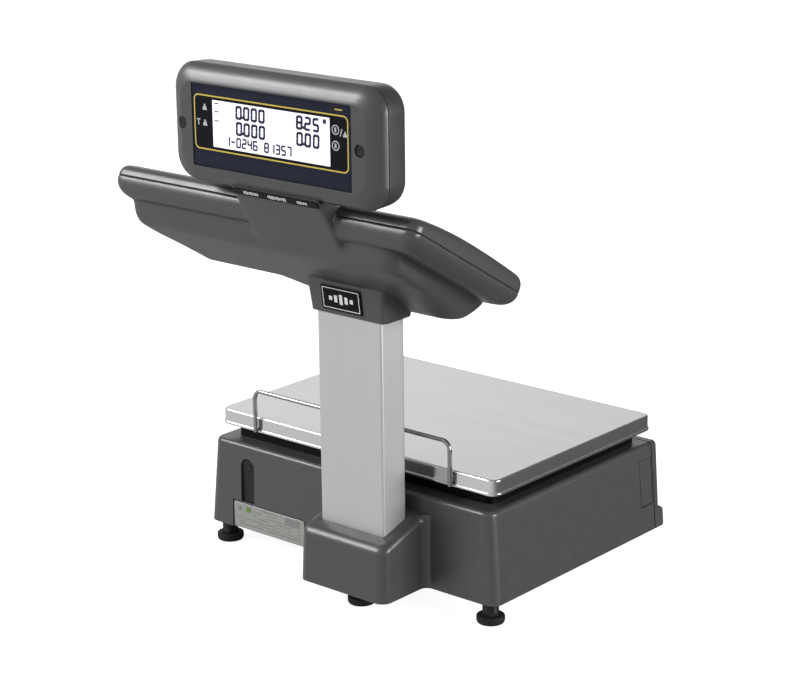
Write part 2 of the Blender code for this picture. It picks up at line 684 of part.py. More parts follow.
def display_ring(y, inset):
    radius = max(DISPLAY_CORNER - 0.6 * inset, 0.008)
    low, high = DISPLAY_LOW + inset, DISPLAY_HIGH - inset
    outline = rounded(DISPLAY_LEFT + inset, DISPLAY_RIGHT - inset, low, high, (radius,) * 4, 5)
    return [(x, y, z) for x, z in outline]


def display_loft(profile):
    return loft([display_ring(y, inset) for y, inset in profile])


def window_box(y0, y1, shrink=0.0):
    x0, x1, z0, z1 = WINDOW
    return box(x0 + shrink, x1 - shrink, y0, y1, z0 + shrink, z1 - shrink)


def display_unit():
    face, back = DISPLAY_FACE, DISPLAY_BACK
    front = ((DISPLAY_SEAM - GAP / 2, 0), (-0.2965, 0.0005), (-0.3005, 0.003), (-0.3045, 0.008), (-0.3070, 0.014))
    front_in = ((DISPLAY_SEAM + 0.002, 0.0025), (-0.299, 0.0045), (-0.303, 0.010), (-0.3052, 0.020))
    shell = add("display_front_shell", display_loft((*front, (face, 0.0175))), dark_plastic)
    holes = [rod("Y", (x, PLUG_HEIGHT), -0.32, -0.300, 0.0061, 20) for x in PLUGS.values()]
    cut(shell, display_loft(front_in), window_box(-0.32, -0.300), *holes)
    for name, x in PLUGS.items():
        add(name, rod("Y", (x, PLUG_HEIGHT), face + 0.0006, face + 0.0040, 0.0058, 20), black_plastic)
    rear = ((DISPLAY_SEAM + GAP / 2, 0), (-0.272, 0.0015), (-0.266, 0.005), (-0.263, 0.011), (back, 0.017))
    rear_in = ((DISPLAY_SEAM - 0.002, 0.0025), (-0.272, 0.004), (-0.2665, 0.010), (back - 0.0025, 0.0175))
    shell = add("display_rear_shell", display_loft(rear), dark_plastic)
    cut(shell, display_loft(rear_in), window_box(-0.27, -0.25))
    add("customer_window", window_box(face + 0.0002, face + 0.0020, GAP), window_glass)
    add("operator_window", window_box(back - 0.0020, back - 0.0002, GAP), window_glass)
    x0, x1, z0, z1 = LCD_AREA
    add("customer_lcd", box(x0 - 0.004, x1 + 0.004, -0.3055, -0.2985, z0 - 0.005, z1 + 0.005), lcd_white)
    add("operator_lcd", box(x0 - 0.004, x1 + 0.004, -0.2715, -0.2645, z0 - 0.005, z1 + 0.005), lcd_white)
    add("display_board", box(-0.060, 0.158, -0.2860, -0.2844, 0.472, 0.562), green_board)


# ---------------------------------------------------------------- printer


def gear(axis_at, teeth, phase, bore):
    """A spur gear along X; phase is the angle of one tooth, from +Y towards +Z."""
    pitch = teeth * MODULE / 2
    root, tip = pitch - 1.25 * MODULE, pitch + 0.8 * MODULE
    tooth = math.radians(360 / teeth)
    outline = []
    for k in range(teeth):
        middle = phase + k * tooth
        for radius, share in ((root, -0.36), (tip, -0.13), (tip, 0.13), (root, 0.36)):
            angle = middle + share * tooth
            outline.append((axis_at[0] + radius * math.cos(angle), axis_at[1] + radius * math.sin(angle)))
    shape = bmesh.new()
    sides = []
    for x in GEAR_X:
        outer = [shape.verts.new((x, y, z)) for y, z in outline]
        angles = [phase + 2 * math.pi * k / (4 * teeth) for k in range(4 * teeth)]
        inner = [
            shape.verts.new((x, axis_at[0] + bore * math.cos(a), axis_at[1] + bore * math.sin(a))) for a in angles
        ]
        sides.append((outer, inner))
    (low_out, low_in), (high_out, high_in) = sides
    for i in range(4 * teeth):
        j = (i + 1) % (4 * teeth)
        for a, b in ((low_out, high_out), (high_out, high_in), (high_in, low_in), (low_in, low_out)):
            shape.faces.new((a[i], a[j], b[j], b[i]))
    return shape


def gear_train():
    """Places and phases of the platen gear, the idler and the motor pinion, in mesh."""
    down = math.radians(-116)
    idler_reach = (PLATEN_TEETH + IDLER_TEETH) * MODULE / 2
    idler = (PLATEN_AT[0] + idler_reach * math.cos(down), PLATEN_AT[1] + idler_reach * math.sin(down))
    across = math.radians(-50)
    motor_reach = (IDLER_TEETH + PINION_TEETH) * MODULE / 2
    motor = (idler[0] + motor_reach * math.cos(across), idler[1] + motor_reach * math.sin(across))
    idler_phase = down + math.pi + math.pi / IDLER_TEETH
    lag = (across - idler_phase) % (2 * math.pi / IDLER_TEETH)
    motor_phase = across + math.pi + lag * IDLER_TEETH / PINION_TEETH + math.pi / PINION_TEETH
    return (PLATEN_AT, down), (idler, idler_phase), (motor, motor_phase)


def printer_chassis(idler, motor):
    left, right = PLATE_LEFT, PLATE_RIGHT
    chassis = add("printer_chassis", box(left, left + PLATE, 0.010, 0.136, 0.0255, 0.105), steel)
    join(
        chassis,
        box(right, right + PLATE, 0.010, 0.136, 0.0255, 0.105),
        box(left + 0.001, right + 0.001, 0.011, 0.135, 0.0256, 0.0275),
        box(left + 0.001, right + 0.001, 0.0105, 0.0125, 0.0256, 0.050),
        rod("X", idler, right + 0.001, GEAR_X[1] + 0.001, 0.0024, 16),
    )
    cut(
        chassis,
        rod("X", PLATEN_AT, 0.07, 0.18, 0.0028, 16),
        rod("X", HEAD_PIVOT, 0.07, 0.18, 0.0023, 16),
        rod("X", ROLL_AT, 0.07, 0.18, 0.0042, 16),
        box(0.07, 0.18, ROLL_AT[0] - 0.0041, ROLL_AT[0] + 0.0041, ROLL_AT[1], 0.12),
        rod("X", motor, 0.160, 0.18, 0.0024, 16),
    )


def printer_parts():
    (platen, platen_phase), (idler, idler_phase), (motor, motor_phase) = gear_train()
    printer_chassis(idler, motor)
    half = 0.014
    body = box(0.136, PLATE_RIGHT - GAP, motor[0] - half, motor[0] + half, motor[1] - half, motor[1] + half)
    cut(add("stepper_motor", body, steel), rod("X", motor, 0.150, 0.18, 0.0024, 16))
    pinion = add("motor_pinion", gear(motor, PINION_TEETH, motor_phase, 0.0018), gear_plastic, (0, *motor))
    join(pinion, rod("X", motor, 0.152, GEAR_X[1] + 0.001, 0.0021, 16))
    add("idler_gear", gear(idler, IDLER_TEETH, idler_phase, 0.0027), gear_plastic, (0, *idler))
    add("platen_gear", gear(platen, PLATEN_TEETH, platen_phase, 0.0028), gear_plastic, (0, *platen))
    shaft, roller = 0.0025, PLATEN_RADIUS
    ends = ((0.0815, shaft), (0.0885, shaft), (0.0886, roller), (0.1614, roller), (0.1615, shaft), (0.1745, shaft))
    add("platen_roller", turned("X", platen, ends, 20), black_rubber, (0, *platen))
    outline = (
        (0.088, 0.097),
        (0.116, 0.097),
        (0.1185, PLATEN_AT[1] + PLATEN_RADIUS + GAP),
        (0.1295, PLATEN_AT[1] + PLATEN_RADIUS + GAP),
        (0.133, 0.097),
        (0.133, 0.103),
        (0.088, 0.103),
    )
    arm = add("print_head", prism("X", 0.0885, 0.1615, outline), aluminium, (0, *HEAD_PIVOT))
    join(arm, rod("X", HEAD_PIVOT, 0.0818, 0.1665, 0.002, 16))
    spindle, core, end = 0.0123, 0.0127, 0.0038
    ends = ((0.0815, end), (0.0870, end), (0.0871, spindle), (0.1629, spindle), (0.1630, end), (0.1665, end))
    add("roll_spindle", turned("X", ROLL_AT, ends, 24), gear_plastic, (0, *ROLL_AT))
    roll = add("label_roll", rod("X", ROLL_AT, 0.096, 0.154, ROLL_RADIUS, 40), paper, (0, *ROLL_AT))
    cut(roll, rod("X", ROLL_AT, 0.08, 0.17, core, 24))


def printer_door():
    left, right, low, high = DOOR
    outline = (
        (panel_face(low) - WALL, low),
        (panel_face(low), low),
        (panel_face(high), high),
        (panel_face(high) - WALL, high),
    )
    pivot = (0, *DOOR_PIVOT)
    door = add("printer_door", prism("X", left, right, outline), dark_plastic, pivot)
    join(door, rod("X", DOOR_PIVOT, left + 0.0002, right - 0.0002, 0.003, 16))
    cut(
        door,
        rod("X", DOOR_PIVOT, left - 0.01, right + 0.01, 0.0015, 12),
        prism("X", SLOT[0], SLOT[1], ((0.13, SLOT[2]), (0.16, SLOT[2]), (0.16, SLOT[3]), (0.13, SLOT[3]))),
    )
    add("door_hinge_pin", rod("X", DOOR_PIVOT, left - 0.0025, right + 0.0025, 0.0013, 12), steel)
    face = panel_face(0.086) + 0.0005
    bar = box(SLOT[0] + 0.001, SLOT[1] - 0.001, face, face + 0.0015, 0.0830, 0.0895)
    add("tear_bar", bar, stainless, pivot)


# ---------------------------------------------------------------- the whole scale

for leftover in list(bpy.data.objects):
    bpy.data.objects.remove(leftover)

dark_plastic = material("dark_plastic", (0.09, 0.09, 0.095), 0.38)
black_plastic = material("black_plastic", (0.02, 0.02, 0.022), 0.5)
black_rubber = material("black_rubber", (0.015, 0.015, 0.015), 0.75)
stainless = material("stainless", (0.72, 0.72, 0.73), 0.3, 1.0)
chrome = material("chrome", (0.8, 0.8, 0.8), 0.12, 1.0)
aluminium = material("aluminium", (0.6, 0.6, 0.61), 0.42, 0.9)
cast_metal = material("cast_metal", (0.35, 0.35, 0.36), 0.55, 0.8)
steel = material("steel", (0.5, 0.5, 0.51), 0.4, 0.9)
plate_grey = material("plate_grey", (0.5, 0.5, 0.48), 0.45, 0.3)
green_board = material("green_board", (0.02, 0.16, 0.07), 0.5)
clear_green = material("clear_green", (0.35, 0.7, 0.2), 0.1)
grey_cable = material("grey_cable", (0.3, 0.3, 0.3), 0.6)
keypad_blue = material("keypad_blue", (0.05, 0.07, 0.16), 0.45)
window_glass = material("window_glass", (0.01, 0.012, 0.03), 0.08, 0.0, 0.6)
lcd_white = material("lcd_white", (0.9, 0.92, 0.95), 0.3)
gear_plastic = material("gear_plastic", (0.75, 0.74, 0.7), 0.5)
paper = material("paper", (0.88, 0.88, 0.86), 0.8)

layout = bpy.data.objects.new("layout", None)
layout.location = LAYOUT_IN_FOOTPRINT
bpy.context.scene.collection.objects.link(layout)

base_tray()
base_cover()
front_panel()
feet()
base_details()
power_rocker()
side_latch()
platter()
guard_rail()
weighing_parts()
column_parts()
keyboard_head()
display_unit()
printer_parts()
printer_door()
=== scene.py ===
"""Looks of the label printing scale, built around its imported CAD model.

Pieces are made in layout coordinates: metres from the point on the table under the load cell, +X to the
right as the customer sees the scale, +Y towards the operator. ORIGIN moves them to the CAD model's frame.
"""

import json
import math
import random

import bmesh
import bpy
import numpy as np
from mathutils import Matrix, Vector


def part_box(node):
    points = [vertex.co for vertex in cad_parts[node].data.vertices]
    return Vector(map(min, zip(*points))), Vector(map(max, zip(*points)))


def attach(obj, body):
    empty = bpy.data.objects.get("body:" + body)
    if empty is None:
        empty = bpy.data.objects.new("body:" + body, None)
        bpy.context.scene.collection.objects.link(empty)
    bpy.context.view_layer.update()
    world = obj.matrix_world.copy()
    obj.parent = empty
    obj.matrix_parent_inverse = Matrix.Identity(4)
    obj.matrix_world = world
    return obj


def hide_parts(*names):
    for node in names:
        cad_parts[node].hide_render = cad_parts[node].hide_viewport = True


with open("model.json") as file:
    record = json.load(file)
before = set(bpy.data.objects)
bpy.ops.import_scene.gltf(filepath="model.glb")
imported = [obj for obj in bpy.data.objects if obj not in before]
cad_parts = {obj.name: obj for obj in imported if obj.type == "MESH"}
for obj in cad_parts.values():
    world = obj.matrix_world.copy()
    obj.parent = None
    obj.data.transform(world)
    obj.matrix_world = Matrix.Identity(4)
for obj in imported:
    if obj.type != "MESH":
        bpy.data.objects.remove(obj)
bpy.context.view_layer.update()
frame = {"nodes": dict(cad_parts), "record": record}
cell_low, cell_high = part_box("load_cell")
ORIGIN = Vector(((cell_low.x + cell_high.x) / 2, (cell_low.y + cell_high.y) / 2, 0))
BODY_OF = {n: body for body, nodes in frame["record"]["behaviour"]["bodies"].items() for n in nodes}

GAP = 0.0003
WALL = 0.003
PHOTO_LENS = 2265.6 / 798
HEAD_TILT = math.radians(30.6)
HEAD_CENTRE = (0, -0.1956, 0.3939)
HEAD_HALF = (0.2037, 0.0962)
HEAD_CORNER = 0.012
HEAD_ARCH = (0.36, 0.18)
TILT = Matrix.Translation(HEAD_CENTRE) @ Matrix.Rotation(-HEAD_TILT, 4, "X")


def span(node):
    """A CAD node's box in layout coordinates: x0, x1, y0, y1, z0, z1."""
    low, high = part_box(node)
    low, high = low - ORIGIN, high - ORIGIN
    return low.x, high.x, low.y, high.y, low.z, high.z


def middle_of(node, axis="Z"):
    """The middle of a CAD node's box in the plane across an axis."""
    x0, x1, y0, y1, z0, z1 = span(node)
    x, y, z = (x0 + x1) / 2, (y0 + y1) / 2, (z0 + z1) / 2
    return {"X": (y, z), "Y": (x, z), "Z": (x, y)}[axis]


# ---------------------------------------------------------------- shapes


def blend(low, high, share):
    return low + (high - low) * share


def spline(rows, steps=4):
    """Rows of numbers joined by a smooth curve through all of them."""
    made = []
    for k in range(len(rows) - 1):
        around = rows[max(k - 1, 0)], rows[k], rows[k + 1], rows[min(k + 2, len(rows) - 1)]
        for step in range(steps):
            t = step / steps
            made.append(tuple(on_curve(*four, t) for four in zip(*around)))
    return made + [tuple(rows[-1])]


def on_curve(p, q, r, s, t):
    """The Catmull-Rom curve from q to r."""
    return 0.5 * (2 * q + (r - p) * t + (2 * p - 5 * q + 4 * r - s) * t * t + (3 * q - p - 3 * r + s) * t**3)


def loft(rings, strips=False):
    """A closed body through rings of equally many points. strips caps the last ring with bands across X."""
    shape = bmesh.new()
    loops = [[shape.verts.new(point) for point in ring] for ring in rings]
    for low, high in zip(loops, loops[1:]):
        for i in range(len(low)):
            j = (i + 1) % len(low)
            shape.faces.new((low[i], low[j], high[j], high[i]))
    shape.faces.new(list(reversed(loops[0])))
    if strips:
        middle = sum(v.co.x for v in loops[-1]) / len(loops[-1])
        left = sorted((v for v in loops[-1] if v.co.x < middle), key=lambda v: v.co.y)
        right = sorted((v for v in loops[-1] if v.co.x > middle), key=lambda v: v.co.y)
        for a, b, c, d in zip(left, right, right[1:], left[1:]):
            shape.faces.new((a, b, c, d))
    else:
        shape.faces.new(loops[-1])
    return shape


def arc(cx, cy, radius, start, end, steps):
    """Points on an arc, with angles in degrees."""
    angles = [math.radians(blend(start, end, k / steps)) for k in range(steps + 1)]
    return [(cx + radius * math.cos(angle), cy + radius * math.sin(angle)) for angle in angles]


def circle(cx, cy, radius, steps):
    return arc(cx, cy, radius, 0, 360, steps)[:-1]


def bar(x0, x1, y0, y1):
    return [(x0, y0), (x1, y0), (x1, y1), (x0, y1)]


def rounded(x0, x1, y0, y1, radii, steps=8):
    """A rectangle's outline with its corners rounded, from the low corner round."""
    if not isinstance(radii, tuple):
        radii = (radii,) * 4
    signs = ((1, 1, 180), (-1, 1, 270), (-1, -1, 0), (1, -1, 90))
    points = []
    for (sx, sy, start), radius in zip(signs, radii):
        corner = x0 if sx > 0 else x1, y0 if sy > 0 else y1
        if radius:
            points += arc(corner[0] + sx * radius, corner[1] + sy * radius, radius, start, start + 90, steps)
        else:
            points.append(corner)
    return points


def drawn_in(x0, x1, y0, y1, inset):
    return x0 + inset, x1 - inset, y0 + inset, y1 - inset


def at_height(outline, z):
    return [(x, y, z) for x, y in outline]


def on_axis(axis, along, a, b):
    return {"X": (along, a, b), "Y": (a, along, b), "Z": (a, b, along)}[axis]


def prism(axis, start, end, outline):
    return loft([[on_axis(axis, along, a, b) for a, b in outline] for along in (start, end)])


def box(x0, x1, y0, y1, z0, z1):
    return prism("Z", z0, z1, bar(x0, x1, y0, y1))


def turned(axis, centre, profile, steps=64):
    rings = []
    for along, radius in profile:
        rings.append([on_axis(axis, along, *point) for point in circle(*centre, radius, steps)])
    return loft(rings)


def rod(axis, centre, start, end, radius, steps=48):
    return turned(axis, centre, [(start, radius), (end, radius)], steps)


def fillet(radius, steps=7):
    turns = [math.pi / 2 * k / steps for k in range(steps + 1)]
    return [(radius * (1 - math.cos(t)), radius * (1 - math.sin(t))) for t in turns]


def merged(shapes):
    """Separate bodies as one mesh, with no boolean between them."""
    whole = bmesh.new()
    for shape in shapes:
        mesh = bpy.data.meshes.new("part")
        bmesh.ops.recalc_face_normals(shape, faces=shape.faces)
        shape.to_mesh(mesh)
        shape.free()
        whole.from_mesh(mesh)
        bpy.data.meshes.remove(mesh)
    return whole


def moved(shape, matrix):
    bmesh.ops.transform(shape, matrix=matrix, verts=shape.verts)
    return shape


def as_object(shape, name="helper"):
    if isinstance(shape, bmesh.types.BMesh):
        bmesh.ops.recalc_face_normals(shape, faces=shape.faces)
        mesh = bpy.data.meshes.new(name)
        shape.to_mesh(mesh)
        shape.free()
    else:
        mesh = shape
    obj = bpy.data.objects.new(name, mesh)
    bpy.context.scene.collection.objects.link(obj)
    return obj


def result(obj, helpers=()):
    """The mesh of obj with its modifiers applied; obj and its helpers go away."""
    bpy.context.view_layer.update()
    graph = bpy.context.evaluated_depsgraph_get()
    mesh = bpy.data.meshes.new_from_object(obj.evaluated_get(graph))
    for old in (obj, *helpers):
        data = old.data
        bpy.data.objects.remove(old)
        bpy.data.meshes.remove(data)
    return mesh


def combined(shape, joins=(), cuts=(), solver="EXACT"):
    base = as_object(shape)
    helpers = []
    for operation, shapes in (("UNION", joins), ("DIFFERENCE", cuts)):
        for other in shapes:
            helper = as_object(other)
            step = base.modifiers.new("step", "BOOLEAN")
            step.operation, step.object, step.solver = operation, helper, solver
            helpers.append(helper)
    return result(base, helpers)


def remeshed(mesh, voxel):
    obj = as_object(mesh)
    step = obj.modifiers.new("voxels", "REMESH")
    step.mode, step.voxel_size = "VOXEL", voxel
    return result(obj)


def softened(mesh, rounds, weight):
    """Evens out a dense mesh, so that its creases become fillets; weight(points) holds places still."""
    count = len(mesh.vertices)
    points = np.zeros(count * 3)
    mesh.vertices.foreach_get("co", points)
    points = points.reshape(-1, 3)
    edges = np.zeros(len(mesh.edges) * 2, int)
    mesh.edges.foreach_get("vertices", edges)
    a, b = edges[0::2], edges[1::2]
    around = np.maximum(np.bincount(a, minlength=count) + np.bincount(b, minlength=count), 1)
    share = weight(points)[:, None]
    for _ in range(rounds):
        middle = np.stack(
            [
                np.bincount(a, points[b, k], minlength=count) + np.bincount(b, points[a, k], minlength=count)
                for k in range(3)
            ],
            axis=1,
        )
        points = points + share * 0.6 * (middle / around[:, None] - points)
    mesh.vertices.foreach_set("co", points.ravel())
    mesh.update()
    return mesh


def tube(path, radius, steps=20):
    """A round bar along points in a plane of constant Y."""
    rings = []
    for k, point in enumerate(path):
        before, after = path[max(k - 1, 0)], path[min(k + 1, len(path) - 1)]
        tangent = (Vector(after) - Vector(before)).normalized()
        side = tangent.cross(Vector((0, 1, 0)))
        offsets = [a * Vector((0, 1, 0)) + b * side for a, b in circle(0, 0, radius, steps)]
        rings.append([Vector(point) + offset for offset in offsets])
    return loft(rings)


def piece(name, shape, look, nodes=(), body=None, slot=None, bevel=0.0, sharp=38, weighted=True):
    """A finished piece of the scale, from a shape or mesh in layout coordinates."""
    obj = as_object(shape, name)
    obj.name = name
    mesh = obj.data
    mesh.transform(Matrix.Translation(ORIGIN))
    mesh.materials.clear()
    mesh.materials.append(look)
    mesh.shade_smooth()
    mesh.set_sharp_from_angle(angle=math.radians(sharp))
    if bevel:
        step = obj.modifiers.new("edges", "BEVEL")
        step.width, step.segments, step.limit_method = bevel, 2, "ANGLE"
        step.angle_limit = math.radians(sharp)
        step.harden_normals = True
    if weighted:
        step = obj.modifiers.new("normals", "WEIGHTED_NORMAL")
        step.keep_sharp = True
        step.weight = 100
    nodes = (nodes,) if isinstance(nodes, str) else nodes
    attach(obj, body or (BODY_OF[nodes[0]] if nodes else "scale"))
    if nodes:
        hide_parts(*nodes)
    return obj


# ---------------------------------------------------------------- materials


def look(name, colour, rough, metallic=0.0, tint=0.05, spread=0.06, scale=60.0, **more):
    """A procedural finish: cloudy colour and roughness, and a fine grain as bump."""
    grain, stretch = more.get("grain"), more.get("stretch", (1, 1, 1))
    made = bpy.data.materials.new(name)
    made.use_nodes = True
    tree = made.node_tree
    nodes, links = tree.nodes, tree.links
    shader = nodes["Principled BSDF"]
    shader.inputs["Metallic"].default_value = metallic
    for key, socket in (("specular", "Specular IOR Level"), ("coat", "Coat Weight")):
        if key in more:
            shader.inputs[socket].default_value = more[key]
    if "emission" in more:
        shader.inputs["Emission Color"].default_value = (*more["emission"][0], 1)
        shader.inputs["Emission Strength"].default_value = more["emission"][1]
    where = nodes.new("ShaderNodeTexCoord")
    mapping = nodes.new("ShaderNodeMapping")
    mapping.inputs["Scale"].default_value = stretch
    links.new(where.outputs["Object"], mapping.inputs["Vector"])
    cloud = nodes.new("ShaderNodeTexNoise")
    cloud.inputs["Scale"].default_value = scale
    cloud.inputs["Detail"].default_value = 5
    links.new(mapping.outputs["Vector"], cloud.inputs["Vector"])
    mix = nodes.new("ShaderNodeMix")
    mix.data_type = "RGBA"
    mix.inputs["A"].default_value = (*[c * (1 - tint) for c in colour], 1)
    mix.inputs["B"].default_value = (*[min(c * (1 + tint), 1) for c in colour], 1)
    links.new(cloud.outputs["Fac"], mix.inputs["Factor"])
    links.new(mix.outputs["Result"], shader.inputs["Base Color"])
    gloss = nodes.new("ShaderNodeMapRange")
    gloss.inputs["To Min"].default_value = max(rough - spread, 0.02)
    gloss.inputs["To Max"].default_value = rough + spread
    links.new(cloud.outputs["Fac"], gloss.inputs["Value"])
    links.new(gloss.outputs["Result"], shader.inputs["Roughness"])
    if grain:
        grain_scale, grain_depth = grain
        fine = nodes.new("ShaderNodeTexNoise")
        fine.inputs["Scale"].default_value = grain_scale
        fine.inputs["Detail"].default_value = 2
        links.new(mapping.outputs["Vector"], fine.inputs["Vector"])
        bump = nodes.new("ShaderNodeBump")
        bump.inputs["Strength"].default_value = 1.0
        bump.inputs["Distance"].default_value = grain_depth
        links.new(fine.outputs["Fac"], bump.inputs["Height"])
        links.new(bump.outputs["Normal"], shader.inputs["Normal"])
    return made


dark_plastic = look("dark_plastic", (0.085, 0.085, 0.089), 0.34, 0.35, grain=(1500, 0.00004))
# The front shell's plastic drawn darker for the display's rear shell: painted shade on the same plastic.
rear_plastic_painted_shade = look("rear_plastic_painted_shade", (0.062, 0.062, 0.066), 0.36, 0.3, grain=(1500, 0.00005))
black_plastic = look("black_plastic", (0.010, 0.010, 0.011), 0.45, grain=(2200, 0.00003), specular=0.3)
# Near-black finish: the print ground of the badge and capacity labels, and also painted shade on the rim under
# the platter and in the front panel's seam.
label_and_shade_black = look("label_and_shade_black", (0.003, 0.003, 0.004), 0.35, specular=0.12)
black_rubber = look("black_rubber", (0.009, 0.009, 0.009), 0.6, tint=0.2, grain=(1200, 0.00006), specular=0.3)
BRUSHED = {"scale": 6, "stretch": (0.25, 9, 9), "grain": (160, 0.00001)}
stainless_top = look("stainless", (0.66, 0.66, 0.67), 0.42, 1.0, tint=0.03, spread=0.05, **BRUSHED)
polished = look("polished_steel", (0.72, 0.72, 0.73), 0.14, 1.0, tint=0.03, spread=0.05, scale=40)
chrome = look("chrome", (0.34, 0.34, 0.35), 0.2, 1.0, tint=0.04, spread=0.05, scale=80)
EXTRUDED = {"scale": 10, "stretch": (9, 9, 0.12), "grain": (90, 0.00001)}
anodised = look("anodised", (0.60, 0.60, 0.61), 0.44, 0.75, tint=0.02, spread=0.04, **EXTRUDED)
cast_metal = look("cast_metal", (0.30, 0.30, 0.31), 0.55, 0.8, tint=0.1, scale=200, grain=(900, 0.0001))
steel = look("zinc_steel", (0.5, 0.51, 0.52), 0.36, 0.95, tint=0.1, spread=0.1, scale=45)
MILLED = {"scale": 12, "stretch": (1, 12, 12), "grain": (220, 0.00001)}
machined = look("machined_aluminium", (0.62, 0.62, 0.63), 0.34, 0.95, **MILLED)
plate_grey = look("plate_grey", (0.36, 0.37, 0.35), 0.38, 0.55, tint=0.04, scale=30, grain=(900, 0.00001))
green_board = look("green_board", (0.015, 0.14, 0.06), 0.35, tint=0.25, scale=260, grain=(500, 0.00004))
clear_green = look("clear_green", (0.35, 0.75, 0.15), 0.06, tint=0.05, coat=1.0)
grey_cable = look("grey_cable", (0.22, 0.22, 0.23), 0.5, grain=(900, 0.00005))
keypad_blue = look("keypad_blue", (0.035, 0.05, 0.12), 0.4, tint=0.08, grain=(2600, 0.00003))
navy_glass = look("navy_glass", (0.008, 0.0105, 0.024), 0.2, tint=0.1, spread=0.03, scale=20, specular=0.18)
BLACK = (0.002, 0.0022, 0.006)
black_glass = look("black_glass", BLACK, 0.18, tint=0.1, spread=0.03, scale=20, specular=0.15)
dot_print = look("dot_print", (0.032, 0.038, 0.065), 0.4, tint=0.1, scale=300, specular=0.2)
icon_print = look("icon_print", (0.46, 0.47, 0.50), 0.45, tint=0.1, scale=300)
yellow_print = look("yellow_print", (0.60, 0.46, 0.07), 0.4, tint=0.05, scale=300)
white_print = look("white_print", (0.78, 0.78, 0.80), 0.45, tint=0.05, scale=300)
LIT = {"scale": 8, "emission": ((0.9, 0.92, 1.0), 0.42)}
lcd_white = look("lcd_white", (0.86, 0.88, 0.96), 0.3, tint=0.012, spread=0.02, **LIT)
lcd_ink = look("lcd_ink", (0.012, 0.010, 0.06), 0.4, tint=0.1, scale=200)
green_print = look("green_print", (0.10, 0.20, 0.03), 0.5, tint=0.1, scale=300)
plate_print = look("plate_print", (0.20, 0.21, 0.20), 0.5, 0.3, tint=0.2, scale=300)
grey_print = look("grey_print", (0.13, 0.13, 0.13), 0.5, tint=0.1, scale=300)
gear_plastic = look("gear_plastic", (0.72, 0.70, 0.62), 0.42, tint=0.05, scale=120, grain=(1500, 0.00003))
paper = look("paper", (0.86, 0.85, 0.82), 0.75, tint=0.03, scale=6, stretch=(60, 1, 1), grain=(400, 0.00003))
KEY_LOOKS = {
    "light": look("key_light", (0.52, 0.54, 0.56), 0.45, tint=0.05, grain=(2600, 0.00003)),
    "blue": look("key_blue", (0.04, 0.14, 0.42), 0.42, tint=0.06, grain=(2600, 0.00003)),
    "green": look("key_green", (0.03, 0.30, 0.10), 0.42, tint=0.06, grain=(2600, 0.00003)),
    "red": look("key_red", (0.50, 0.04, 0.03), 0.42, tint=0.06, grain=(2600, 0.00003)),
}

# ---------------------------------------------------------------- base

BASE_BOTTOM = 0.0215
BASE_TOP = 0.121
BASE_MIDDLE = -0.0045
BASE_HALF = (0.205, 0.1965)
BASE_REAR = (-0.1535, -0.1505)
BASE_SEAM = 0.135
BASE_CORNER = 0.012
BASE_FILLET = 0.005
COLUMN_X = 0.049
BOSS_HALF = 0.0585
BOSS_FRONT = (-0.2205, -0.2185)
BOSS_FLARE = 0.009
BOSS_FILLET = 0.008
BOSS_TOP = 0.0805
BOSS_SLOPE = 0.323
SLOT = (-0.159, -0.139, 0.0535, 0.105)
DOOR = span("printer_door")
LATCH = (*span("side_latch")[:3], BASE_SEAM - 0.0019, *span("side_latch")[4:])
INLET = span("mains_inlet")
HINGE = (0.1440, 0.0520)
FOOT_PAD = (
    (0, 0.0122), (0.0006, 0.0138), (0.0016, 0.0144), (0.0030, 0.0149), (0.0072, 0.0149), (0.0080, 0.0145),
    (0.0085, 0.0135),
)


def base_share(z):
    return (z - BASE_BOTTOM) / (BASE_TOP - BASE_BOTTOM)


def base_sides(z, inset=0.0):
    half = blend(*BASE_HALF, base_share(z)) - inset
    return BASE_MIDDLE - half, BASE_MIDDLE + half


def base_rear(z):
    return blend(*BASE_REAR, base_share(z))


def cover_ring(z, inset, front):
    radius = max(BASE_CORNER - inset, 0.004)
    sides = *base_sides(z, inset), base_rear(z) + inset, front
    return at_height(rounded(*sides, (radius, radius, 0, 0), 12), z)


def boss_top(y):
    return BOSS_TOP + BOSS_SLOPE * (y - BOSS_FRONT[1])


def boss_ring(share, inset, drop):
    """The boss's outline, its flanks curving into the rear wall of the base."""
    half = BOSS_HALF + 0.0015 * (1 - share)
    front = blend(*BOSS_FRONT, share) + inset
    wall = blend(BASE_REAR[0], base_rear(0.1), share)
    radius = max(0.012 - inset, 0.004)
    flare = BOSS_FLARE + inset
    left, right = COLUMN_X - half + inset, COLUMN_X + half - inset
    points = [(left - flare, wall + 0.003)]
    for cx, cy, size, start, end in (
        (left - flare, wall - flare, flare, 90, 0),
        (left + radius, front + radius, radius, 180, 270),
        (right - radius, front + radius, radius, 270, 360),
        (right + flare, wall - flare, flare, 180, 90),
    ):
        points += arc(cx, cy, size, start, end, 12)
    points.append((right + flare, wall + 0.003))
    return [(x, y, BASE_BOTTOM if share == 0 else boss_top(y) - drop) for x, y in points]


def slot_shape(start, end, shrink=0.0):
    radius = (SLOT[1] - SLOT[0]) / 2 - shrink
    return prism("Y", start, end, rounded(*drawn_in(*SLOT, shrink), (0, 0, radius, radius), 14)[:-1])


